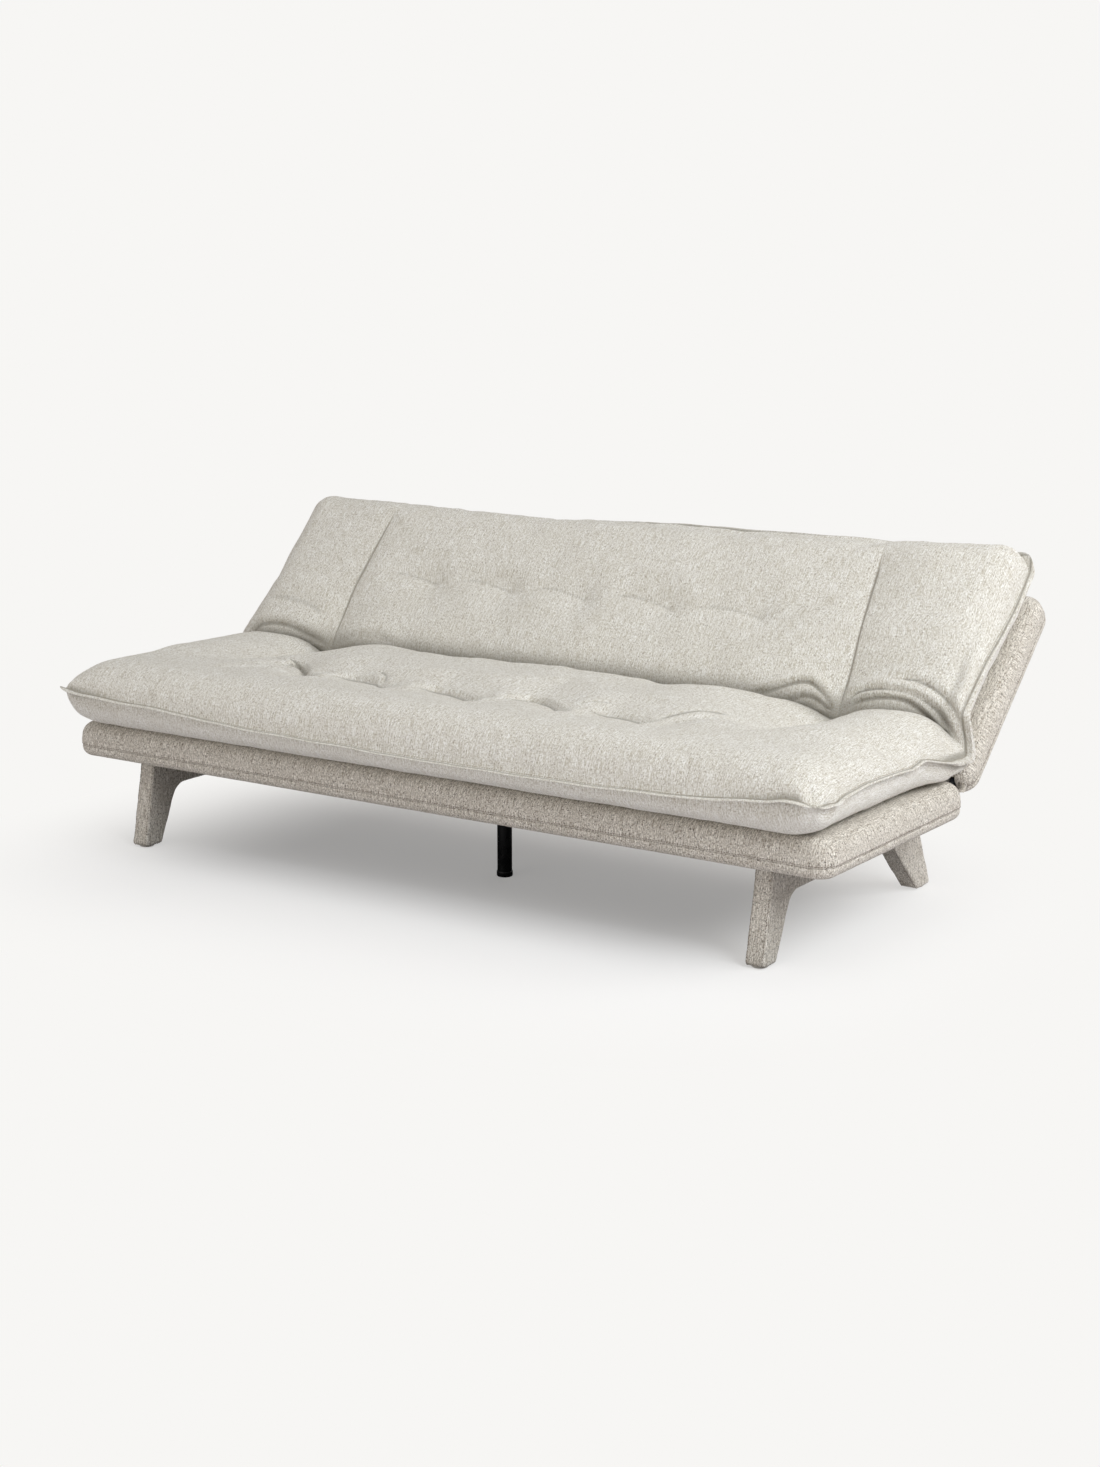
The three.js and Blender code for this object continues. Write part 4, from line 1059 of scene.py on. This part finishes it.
def place_slab(piece, slab):
    """Moves a piece drawn from the hinge axis, with the back lying flat, to its place."""
    piece.data.transform(
        Matrix.Translation(hinge) @ (back_turn if slab.turned else Matrix.Identity(4))
    )
    piece.data.update()


def thicken(piece, thickness):
    shell = piece.modifiers.new("shell", "SOLIDIFY")
    shell.thickness = thickness
    shell.offset = -1
    apply_modifiers(piece)


def hinge_slits(inner, outer, y_span, z_span):
    """The low and the high corner of a slit at each hinge arm."""
    slits = []
    for side in (-1, 1):
        x_span = sorted((side * inner, side * outer))
        slits.append(tuple(zip(x_span, y_span, z_span)))
    return slits


def cut_boxes(piece, boxes):
    """Cuts slits through a cover where the hinge arms pass."""
    mesh = bmesh.new()
    for low, high in boxes:
        made = bmesh.ops.create_cube(mesh, size=1)
        for vertex in made["verts"]:
            vertex.co = [l + (h - l) * (c + 0.5) for l, h, c in zip(low, high, vertex.co)]
    cutter_mesh = bpy.data.meshes.new("cutter")
    mesh.to_mesh(cutter_mesh)
    mesh.free()
    cutter = link_object("cutter", cutter_mesh)
    slit = piece.modifiers.new("slit", "BOOLEAN")
    slit.operation = "DIFFERENCE"
    slit.solver = "EXACT"
    slit.object = cutter
    apply_modifiers(piece)
    bpy.data.objects.remove(cutter)


def slab_stitching(piece, slab):
    """Stitches above the seam of a slab, and up the joint in its front or top side."""
    ring = plan_ring(slab.low, slab.high, -0.0005, slab_corner_radius)
    seam = [(x, y, slab_seam + 0.0045) for x, y in (*ring, ring[0])]
    outer = slab.low if abs(slab.low) > abs(slab.high) else slab.high
    levels = np.linspace(slab_seam, slab_top - slab_edge_radius, 9)
    joint = [(slab_joint, outer, level) for level in levels]
    paths = [np.array(seam), np.array(joint)]
    return stitch(piece.name + "_stitching", piece, paths, *slab_stitch)


def build_slab(name, node, slab, slits, seed):
    """One slab: its cover and the stitches in it."""
    piece = slab_skin(name, slab)
    slab_wrinkles(piece, seed)
    thicken(piece, cover_thickness)
    cut_boxes(piece, slits)
    box_uv(piece)
    stitches = slab_stitching(piece, slab)
    place_slab(piece, slab)
    place_slab(stitches, slab)
    declare(piece, slab_cloth_with_painted_shade, slab.body, [node])
    declare(stitches, base_thread, slab.body)


# Leg frames
def rounded_outline(corners, steps=10):
    """A closed outline with each corner (y, z, radius) turned into an arc."""
    outline = []
    for i, (y, z, radius) in enumerate(corners):
        here = Vector((y, z))
        before = (Vector(corners[i - 1][:2]) - here).normalized()
        after = (Vector(corners[(i + 1) % len(corners)][:2]) - here).normalized()
        half = before.angle(after) / 2
        centre = here + (before + after).normalized() * (radius / math.sin(half))
        start = here + before * (radius / math.tan(half)) - centre
        end = here + after * (radius / math.tan(half)) - centre
        turn = start.angle_signed(end)
        for step in range(steps + 1):
            outline.append(centre + Matrix.Rotation(-turn * step / steps, 2) @ start)
    return outline


def frame_outline():
    """Side view of a leg frame: two raked feet and an arch between them."""
    low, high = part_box("leg_frame_left")
    front, rear, bottom, top = low.y, high.y, low.z, high.z
    arch = top - leg_band
    return rounded_outline([
        (front, bottom, foot_radius),
        (front + front_foot, bottom, foot_radius),
        (front + front_inner, arch, front_arch_radius),
        (rear - rear_inner, arch, rear_arch_radius),
        (rear - rear_foot, bottom, foot_radius),
        (rear, bottom, foot_radius),
        (rear - rear_top, top, rear_top_radius),
        (front + front_top, top, front_top_radius),
    ])


def soften_edges(piece):
    """Turns a sharp form into an evenly meshed one with soft edges."""
    even = piece.modifiers.new("even", "REMESH")
    even.mode = "VOXEL"
    even.voxel_size = leg_voxel
    apply_modifiers(piece)
    soften = piece.modifiers.new("soften", "SMOOTH")
    soften.factor = 0.5
    soften.iterations = 4
    apply_modifiers(piece)


def build_leg_frame(name):
    """The padded cover of one leg frame, with a row of stitches near each edge."""
    low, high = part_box(name)
    outline = frame_outline()
    count = len(outline)
    points = [(x, p.x, p.y) for x in (low.x, high.x) for p in outline]
    piece = mesh_object(name + "_cover", points, ring_faces(2, count) + end_faces(count, count))
    soften_edges(piece)
    places, normals = vertex_array(piece), normal_array(piece)
    pad = 0.0010 * noise_array(places, 22, low.x) + 0.0006 * noise_array(places, 60, low.x)
    set_vertices(piece, places + normals * pad[:, None])
    smooth_faces(piece)
    box_uv(piece)
    paths = []
    for x in (low.x + leg_stitch_inset, high.x - leg_stitch_inset):
        paths.append(np.array([(x, p.x, p.y) for p in (*outline, outline[0])]))
    stitches = stitch(name + "_stitching", piece, paths, *slab_stitch)
    declare(piece, slab_cloth_with_painted_shade, "seat_body", [name])
    declare(stitches, base_thread, "seat_body")


# Padding, lining cloths and the strips that close the hinge gap
def soft_grid(x_places, y_places, level):
    """A sheet of points over a rectangle; level gives the height at each place."""
    x, y = np.meshgrid(x_places, y_places, indexing="ij")
    points = np.stack([x, y, level(x, y)], axis=-1).reshape(-1, 3)
    return points, sheet_faces(len(x_places), len(y_places))


def join_edges(piece):
    """Joins the points of the top and the underside where they meet round the edge."""
    mesh = bmesh.new()
    mesh.from_mesh(piece.data)
    bmesh.ops.remove_doubles(mesh, verts=mesh.verts, dist=1e-5)
    mesh.to_mesh(piece.data)
    mesh.free()


def build_padding(name, node, slab, slits):
    """The wadding over the springs: a soft slab whose top swells a little between its edges."""
    under = slab_top - cover_wall - padding_thickness
    half_x = slab_end - padding_inset
    half_y = (slab.high - slab.low) / 2 - padding_inset
    x = np.linspace(-half_x, half_x, 160)
    y = np.linspace(-half_y, half_y, 50)

    def top(x, y):
        edge = np.minimum(half_x - np.abs(x), half_y - np.abs(y))
        rise = shoulder(edge, padding_shoulder)
        lumps = padding_lump * np.sin(x * 41 + 1.3 * np.sin(y * 17)) * np.sin(y * 47)
        return under + padding_swell * rise + lumps * rise

    def bottom(x, y):
        return np.full_like(x, under)

    points, faces = soft_grid(x, y, top)
    under_points, under_faces = soft_grid(x, y, bottom)
    faces += [tuple(len(points) + i for i in face[::-1]) for face in under_faces]
    points = np.concatenate([points, under_points])
    radius = slab_corner_radius - padding_inset
    x_round, y_round = round_corners(points[:, 0], points[:, 1], half_x, half_y, radius)
    points[:, 0], points[:, 1] = x_round, y_round + (slab.low + slab.high) / 2
    piece = mesh_object(name, points, faces)
    join_edges(piece)
    if slits:
        cut_boxes(piece, slits)
    box_uv(piece)
    place_slab(piece, slab)
    declare(piece, foam, slab.body, [node])


def build_lining(name, node, slab, material):
    """A cloth stapled under a frame, drawn in a little between its edges."""
    inset = cloth_turn - 0.002
    low, high = slab.low, slab.high
    x = np.linspace(-slab_end + inset, slab_end - inset, 180)
    y = np.linspace(low + inset, high - inset, 60)

    def level(x, y):
        from_end = slab_end - inset - np.abs(x)
        from_side = np.minimum(y - low - inset, high - inset - y)
        edge = np.minimum(from_end, from_side)
        drawn = smooth_step(edge, 0.0, 0.10)
        pulls = 0.0007 * np.sin(x * 118) * np.sin(y * 118) * bell(edge, 0.05)
        return slab_bottom + lining_lift + 0.0006 * drawn + pulls * smooth_step(edge, 0.0, 0.01)

    points, faces = soft_grid(x, y, level)
    piece = mesh_object(name, points, [face[::-1] for face in faces])
    thicken(piece, lining_thickness)
    box_uv(piece)
    place_slab(piece, slab)
    declare(piece, material, slab.body, [node])


def build_gap_strip(name, x_low, x_high):
    """A strip of cloth from the rear of the seat slab to the lower end of the back slab."""
    cos, sin = math.cos(rest_turn), math.sin(rest_turn)
    held, level = back_start + strip_hold, strip_on_back
    start = np.array([seat_rear - strip_hold, strip_on_seat])
    end = np.array([held * cos - level * sin, held * sin + level * cos])
    run = end - start
    out = np.array([run[1], -run[0]]) / np.linalg.norm(run)
    share = np.linspace(0, 1, 13)
    sag = strip_sag * np.sin(math.pi * share)
    path = start + share[:, None] * run + sag[:, None] * out
    x = np.linspace(x_low, x_high, max(3, round((x_high - x_low) / strip_pitch)))
    points = np.array([(place, y, z) for place in x for y, z in path])
    puckers = np.tile(np.sin(math.pi * share), len(x))
    points[:, 1] += 0.0012 * np.sin(points[:, 0] * 170) * puckers
    piece = mesh_object(name, points + np.array(hinge), sheet_faces(len(x), len(path)))
    thicken(piece, strip_thickness)
    box_uv(piece)
    declare(piece, slab_cloth_with_painted_shade)
    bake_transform(piece)


def build_turned(name, node, profile, material):
    """A round piece on the axis of its node, from (share of radius, share of height) pairs."""
    low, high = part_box(node)
    centre = (low + high) / 2
    radius, height = (high.x - low.x) / 2, high.z - low.z
    count = 64
    points = []
    for girth, rise in profile:
        for i in range(count):
            turn = 2 * math.pi * i / count
            x = centre.x + radius * girth * math.cos(turn)
            y = centre.y + radius * girth * math.sin(turn)
            points.append((x, y, low.z + height * rise))
    last = (len(profile) - 1) * count
    piece = mesh_object(name, points, ring_faces(len(profile), count) + end_faces(count, last))
    declare(piece, material, "seat_body", [node])


# Floor, light and camera
def build_floor():
    """A floor wide enough to reach past every view."""
    far = 20
    corners = [(-far, -far, 0), (far, -far, 0), (far, far, 0), (-far, far, 0)]
    floor = mesh_object("floor", corners, [(0, 1, 2, 3)])
    dress(floor, floor_material())


def area_light(name, place, aim, size, power, colour=(1, 1, 1)):
    data = bpy.data.lights.new(name, "AREA")
    data.shape = "RECTANGLE"
    data.size, data.size_y = size
    data.energy = power
    data.color = colour
    lamp = link_object(name, data)
    lamp.location = place
    lamp.rotation_euler = (Vector(aim) - Vector(place)).to_track_quat("-Z", "Y").to_euler()


def build_camera():
    """A camera where the photo was taken from."""
    data = bpy.data.cameras.new("camera")
    data.lens = 58.88
    data.sensor_width = 36
    camera = link_object("camera", data)
    camera.location = (3.011, -4.3985, 1.449)
    camera.rotation_euler = (math.radians(77.73), 0, math.radians(34.17))
    bpy.context.scene.camera = camera


# Materials
class Nodes:
    """Shader nodes, added to a tree call by call."""

    def __init__(self, tree):
        self.tree = tree

    def node(self, kind, inputs=(), **settings):
        made = self.tree.nodes.new("ShaderNode" + kind)
        for key, value in settings.items():
            setattr(made, key, value)
        for key, value in dict(inputs).items():
            self.join(value, made.inputs[key])
        return made

    def join(self, value, socket):
        """Links a socket, or sets a constant on it."""
        if isinstance(value, bpy.types.NodeSocket):
            self.tree.links.new(value, socket)
        else:
            socket.default_value = value

    def place(self):
        return self.node("TexCoord").outputs["Object"]

    def noise(self, vector, scale, detail=2.0, rough=0.5):
        inputs = {"Vector": vector, "Scale": scale, "Detail": detail, "Roughness": rough}
        return self.node("TexNoise", inputs).outputs["Fac"]

    def stretched(self, vector, scale):
        return self.node("Mapping", {"Vector": vector, "Scale": scale}).outputs["Vector"]

    def ramp(self, value, low, high, low_out=0.0, high_out=1.0, curve="SMOOTHSTEP"):
        limits = {"From Min": low, "From Max": high, "To Min": low_out, "To Max": high_out}
        inputs = {"Value": value, **limits}
        return self.node("MapRange", inputs, interpolation_type=curve).outputs["Result"]

    def math(self, operation, a, b=0.0):
        return self.node("Math", {0: a, 1: b}, operation=operation).outputs[0]

    def sum_of(self, *parts):
        """The sum of sockets, each times its share."""
        total = self.math("MULTIPLY", *parts[0])
        for part in parts[1:]:
            total = self.math("ADD", total, self.math("MULTIPLY", *part))
        return total

    def past(self, value, limit):
        """How far the size of a value is past a limit, and 0 before it."""
        return self.math("MAXIMUM", self.math("SUBTRACT", self.math("ABSOLUTE", value), limit))

    def length(self, x, y):
        flat = self.node("CombineXYZ", {"X": x, "Y": y}).outputs["Vector"]
        return self.node("VectorMath", {0: flat}, operation="LENGTH").outputs["Value"]

    def mix(self, share, a, b):
        made = self.node("Mix", data_type="RGBA")
        self.join(share, made.inputs[0])
        for key, colour in ((6, a), (7, b)):
            plain = isinstance(colour, tuple)
            self.join((*colour, 1) if plain else colour, made.inputs[key])
        return made.outputs[2]


class Shader(Nodes):
    """A material with one Principled surface."""

    def __init__(self, name):
        self.material = bpy.data.materials.new(name)
        self.material.use_nodes = True
        super().__init__(self.material.node_tree)
        self.surface = self.tree.nodes["Principled BSDF"]

    def bump(self, height, strength, distance):
        made = self.node("Bump", {"Height": height, "Strength": strength, "Distance": distance})
        self.join(made.outputs["Normal"], self.surface.inputs["Normal"])

    def set(self, **values):
        for key, value in values.items():
            self.join(value, self.surface.inputs[key.replace("_", " ")])


def rgb(red, green, blue):
    """A colour written as 0 to 255 on screen, as linear light."""
    return tuple(((c / 255 + 0.055) / 1.055) ** 2.4 for c in (red, green, blue))


def scaled(colour, share, lift=0.0):
    return tuple(min(c * share + lift, 1) for c in colour)


def fabric(name, pale, mid, dark, fleck_share):
    """Heathered woven cloth: pale and beige yarns, dark slubs, and a plain weave, with the
    painted shade and painted light that the sewn attribute carries.
    """
    shader = Shader(name)
    uv = shader.node("UVMap", uv_map="UVMap").outputs["UV"]

    def yarn(across, along, detail, rough):
        return shader.noise(shader.stretched(uv, (across, along, 1)), 1.0, detail, rough)

    fibres = yarn(950, 420, 3.0, 0.6)
    yarns = yarn(430, 180, 2.0, 0.6)
    streaks = yarn(560, 30, 2.0, 0.6)
    flecks = shader.math("MAXIMUM", yarn(560, 130, 1.0, 0.5), yarn(150, 620, 1.0, 0.5))
    patches = shader.noise(uv, 9.0, 3.0)
    tone = shader.sum_of((fibres, 0.34), (yarns, 0.34), (streaks, 0.32))
    cloth = shader.mix(shader.ramp(tone, 0.40, 0.60), mid, pale)
    cloth = shader.mix(shader.ramp(flecks, 0.62, 0.72, 0.0, fleck_share), cloth, dark)
    cloth = shader.mix(shader.ramp(patches, 0.35, 0.65, 0.0, 0.12), cloth, mid)
    # painted light: below 0 the sewn attribute makes the cloth paler; painted shade: above 0 it
    # darkens the cloth towards a deep mid tone
    sewn = shader.node("Attribute", attribute_name="sewn").outputs["Fac"]
    cloth = shader.mix(shader.ramp(sewn, -1.0, -0.1, 0.24, 0.0), cloth, pale)
    cloth = shader.mix(shader.ramp(sewn, 0.05, 1.0, 0.0, 0.72), cloth, scaled(mid, 0.42))
    split = shader.node("SeparateXYZ", {"Vector": uv}).outputs
    waves = [shader.math("SINE", shader.math("MULTIPLY", split[k], 3700.0)) for k in "XY"]
    weave = shader.math("MULTIPLY", *waves)
    shader.bump(shader.sum_of((weave, 0.25), (fibres, 1.0), (yarns, 1.0)), 0.45, 0.0012)
    shader.set(Base_Color=cloth, Roughness=0.92, Specular_IOR_Level=0.15)
    shader.set(Sheen_Weight=0.12, Sheen_Roughness=0.6)
    return shader.material


def thread(name, colour):
    """Twisted sewing thread."""
    shader = Shader(name)
    inputs = {"Vector": shader.place(), "Scale": 900.0, "Distortion": 2.0}
    twist = shader.node("TexWave", inputs).outputs["Fac"]
    shader.bump(twist, 0.3, 0.0003)
    shader.set(Base_Color=shader.mix(twist, scaled(colour, 0.6), colour), Roughness=0.8)
    return shader.material


def timber(name):
    """Pale softwood with its grain along X."""
    shader = Shader(name)
    place = shader.place()
    rings = shader.noise(shader.stretched(place, (3, 60, 60)), 1.0, 4.0)
    grain = shader.noise(shader.stretched(place, (25, 600, 600)), 1.0, 2.0)
    wood = shader.mix(shader.ramp(rings, 0.35, 0.65), rgb(178, 136, 88), rgb(214, 180, 132))
    wood = shader.mix(shader.ramp(grain, 0.55, 0.7, 0.0, 0.35), wood, rgb(140, 98, 60))
    shader.bump(grain, 0.3, 0.0006)
    shader.set(Base_Color=wood, Roughness=0.7)
    return shader.material


def steel(name, colour, roughness, metallic, wear, shine=0.5):
    """Bare, dark or painted steel with fine scratches."""
    shader = Shader(name)
    place = shader.place()
    smears = shader.noise(place, 70.0, 4.0)
    scratches = shader.noise(shader.stretched(place, (40, 900, 900)), 1.0, 2.0)
    worn = shader.ramp(scratches, 0.6, 0.75, 0.0, wear)
    rough = shader.ramp(smears, 0.3, 0.7, roughness - 0.06, roughness + 0.08)
    shader.bump(scratches, 0.08, 0.0002)
    shader.set(Base_Color=shader.mix(worn, colour, scaled(colour, 1.6, 0.03)), Roughness=rough)
    shader.set(Metallic=metallic, Specular_IOR_Level=shine)
    return shader.material


def moulded(name, colour, roughness):
    """Moulded plastic with a fine stipple and a little dirt."""
    shader = Shader(name)
    place = shader.place()
    dirt = shader.ramp(shader.noise(place, 90.0, 3.0), 0.5, 0.75, 0.0, 0.5)
    shader.bump(shader.noise(place, 1400.0, 2.0), 0.15, 0.0003)
    shader.set(Base_Color=shader.mix(dirt, colour, scaled(colour, 0.8)), Roughness=roughness)
    return shader.material


def foam_material(name):
    """Pale foam with open cells."""
    shader = Shader(name)
    place = shader.place()
    cells = shader.node("TexVoronoi", {"Vector": place, "Scale": 420.0}).outputs["Distance"]
    tone = shader.ramp(shader.noise(place, 40.0, 3.0), 0.35, 0.65)
    shader.bump(cells, 0.4, 0.0008)
    colour = shader.mix(tone, rgb(226, 214, 176), rgb(238, 230, 200))
    shader.set(Base_Color=colour, Roughness=0.95)
    return shader.material


background = rgb(247, 246, 244)


def floor_material():
    """A pale floor that keeps the soft shadow near the sofa and fades into the background. To the
    camera it glows, with painted light that lifts its real shadow near the sofa; to light rays it
    is darker under the sofa, painted shade on the light it bounces.
    """
    shader = Shader("floor")
    split = shader.node("SeparateXYZ", {"Vector": shader.place()}).outputs
    out_y = shader.past(shader.math("ADD", split["Y"], 0.20), 0.20)
    # painted light: the camera sees at least 0.28 of the background glow over the floor's real
    # shadow, and all of it further out
    far = shader.ramp(shader.length(shader.past(split["X"], 0.50), out_y), 0.0, 0.80, 0.28, 1.0)
    seen = shader.node("LightPath").outputs["Is Camera Ray"]
    # painted shade on bounced light: light rays see a floor far darker under the sofa than the
    # camera does
    open_floor = shader.ramp(shader.length(shader.past(split["X"], 0.90), out_y), 0.0, 0.34)
    bounce = shader.mix(open_floor, (0.16, 0.155, 0.155), (0.76, 0.73, 0.74))
    colour = shader.mix(seen, bounce, (0.950, 0.950, 0.950))
    shader.set(Base_Color=colour, Roughness=1.0, Specular_IOR_Level=0.0)
    glow = shader.node("Emission", {"Color": (*background, 1), "Strength": 1.0}).outputs[0]
    share = shader.math("MULTIPLY", far, seen)
    joined = shader.node("MixShader", {0: share, 1: shader.surface.outputs[0], 2: glow})
    shader.join(joined.outputs[0], shader.tree.nodes["Material Output"].inputs["Surface"])
    return shader.material


def build_world(strength):
    """A soft warm studio that shows the plain background to the camera and in reflections."""
    world = bpy.data.worlds.new("studio")
    world.use_nodes = True
    bpy.context.scene.world = world
    nodes = Nodes(world.node_tree)
    shown = world.node_tree.nodes["Background"]
    path = nodes.node("LightPath").outputs
    seen = nodes.math("MAXIMUM", path["Is Camera Ray"], path["Is Glossy Ray"])
    nodes.join(nodes.mix(seen, (1.0, 0.965, 0.945), background), shown.inputs["Color"])
    level = nodes.ramp(seen, 0.0, 1.0, strength, 1.0, "LINEAR")
    nodes.join(level, shown.inputs["Strength"])


def dress(piece, material):
    piece.data.materials.clear()
    piece.data.materials.append(material)


def dress_node(name, material):
    """Gives a node of the frame its material, without a change to its mesh."""
    node = frame["nodes"][name]
    if not node.material_slots:
        node.data.materials.append(material)
    for slot in node.material_slots:
        slot.link = "OBJECT"
        slot.material = material


def declare(piece, material, body=None, nodes=()):
    """Dresses a piece, hides the nodes of the frame that it replaces, and hangs it on the empty
    of its body.
    """
    dress(piece, material)
    if nodes:
        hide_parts(*nodes)
    if body:
        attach(piece, body)


# Finishes
mattress_cloth = fabric(
    "mattress_cloth", rgb(244, 244, 240), rgb(186, 179, 162), rgb(110, 86, 64), 0.78
)
# A darker copy of the mattress's cloth, with a darker mid tone and darker flecks: painted shade
# for the slabs under the mattress, the leg frames, the back's rear panel and the hinge strips.
slab_cloth_with_painted_shade = fabric("slab_cloth_with_painted_shade", rgb(245, 241, 232), rgb(152, 142, 127), rgb(44, 35, 28), 1.0)
dust_cloth = fabric("dust_cloth", rgb(44, 43, 42), rgb(34, 33, 33), rgb(22, 22, 22), 0.3)
seam_thread = thread("seam_thread", rgb(190, 180, 164))
base_thread = thread("base_thread", rgb(118, 104, 90))
pine = timber("pine")
bright_steel = steel("bright_steel", rgb(150, 152, 155), 0.35, 1.0, 0.5)
dark_steel = steel("dark_steel", rgb(70, 72, 76), 0.45, 0.9, 0.6)
black_steel = steel("black_steel", rgb(8, 8, 9), 0.30, 0.0, 0.1, 0.15)
glide_plastic = moulded("glide_plastic", rgb(216, 212, 204), 0.55)
foam = foam_material("foam")

# Mattress
mattress, sewn_paths = build_mattress()
mattress_nodes = ["mattress_seat", "mattress_fold", "mattress_back"]
declare(mattress, mattress_cloth, nodes=mattress_nodes)
mattress_thread = stitch("mattress_stitching", mattress, sewn_paths, *mattress_stitch)
declare(mattress_thread, seam_thread)
for soft in (mattress, mattress_thread):
    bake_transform(soft)

# Slabs and leg frames
seat_slits = hinge_slits(slit_inner, slit_outer, (-0.013, 0.02), (-0.032, 0.05))
back_slits = hinge_slits(back_slit_inner, back_slit_outer, (0.02, 0.05), (-0.018, 0.018))
build_slab("seat_upholstery", "seat_cover", seat_frame, seat_slits, 1.0)
build_slab("back_upholstery", "back_cover", back_frame, back_slits, 5.0)
for side in ("left", "right"):
    build_leg_frame("leg_frame_" + side)

# Padding, linings and the closing of the hinge gap
build_padding("seat_padding", "seat_foam", seat_frame, seat_slits)
build_padding("back_padding", "back_foam", back_frame, [])
build_lining(
    "seat_underside_cloth", "seat_dust_cover", seat_frame, dust_cloth
)
build_lining("back_rear_panel", "back_rear_cloth", back_frame, slab_cloth_with_painted_shade)
build_gap_strip("gap_strip_left", -strip_end, -slit_outer - 0.002)
build_gap_strip("gap_strip_middle", -slit_inner + 0.006, slit_inner - 0.006)
build_gap_strip("gap_strip_right", slit_outer + 0.002, strip_end)

# Centre leg
shaft_profile = [(1, 0), (1, 0.05), (1, 0.5), (1, 0.95), (1, 1)]
shoe_profile = [
    (0.80, 0), (0.90, 0.03), (0.97, 0.10), (1, 0.22), (1, 0.78), (0.985, 0.92), (0.94, 1.0),
]
for name, node, profile in (
    ("centre_leg_shaft", "centre_leg_tube", shaft_profile),
    ("centre_leg_shoe", "centre_leg_foot", shoe_profile),
):
    build_turned(name, node, profile, black_steel)

# Carried-over nodes, each in the finish of the first word that its name holds
node_finishes = (
    ("rail", pine), ("spring", bright_steel), ("hinge", dark_steel), ("pin", bright_steel),
    ("centre_leg", black_steel), ("glide", glide_plastic), ("foam", foam),
    ("dust", dust_cloth), ("cloth", slab_cloth_with_painted_shade),
)
for name in frame["nodes"]:
    for word, material in node_finishes:
        if word in name:
            dress_node(name, material)
            break

# Studio
build_floor()
build_world(0.455)
area_light("key", (4.3, -1.55, 3.5), (0.2, 0.0, 0.4), (2.7, 2.7), 164, (0.94, 0.97, 1.0))
area_light("overhead", (-0.4, -0.9, 3.2), (-0.4, 0, 0.3), (4.0, 2.4), 16, (0.96, 0.98, 1.0))
area_light("front fill", (-1.4, -5.0, 0.7), (-0.2, -0.5, 0.3), (4.4, 1.0), 36, (1.0, 0.98, 0.95))
area_light("side fill", (2.9, 0.9, 1.9), (0.9, 0, 0.35), (1.0, 1.0), 15)
build_camera()
bpy.context.scene.view_settings.view_transform = "Standard"
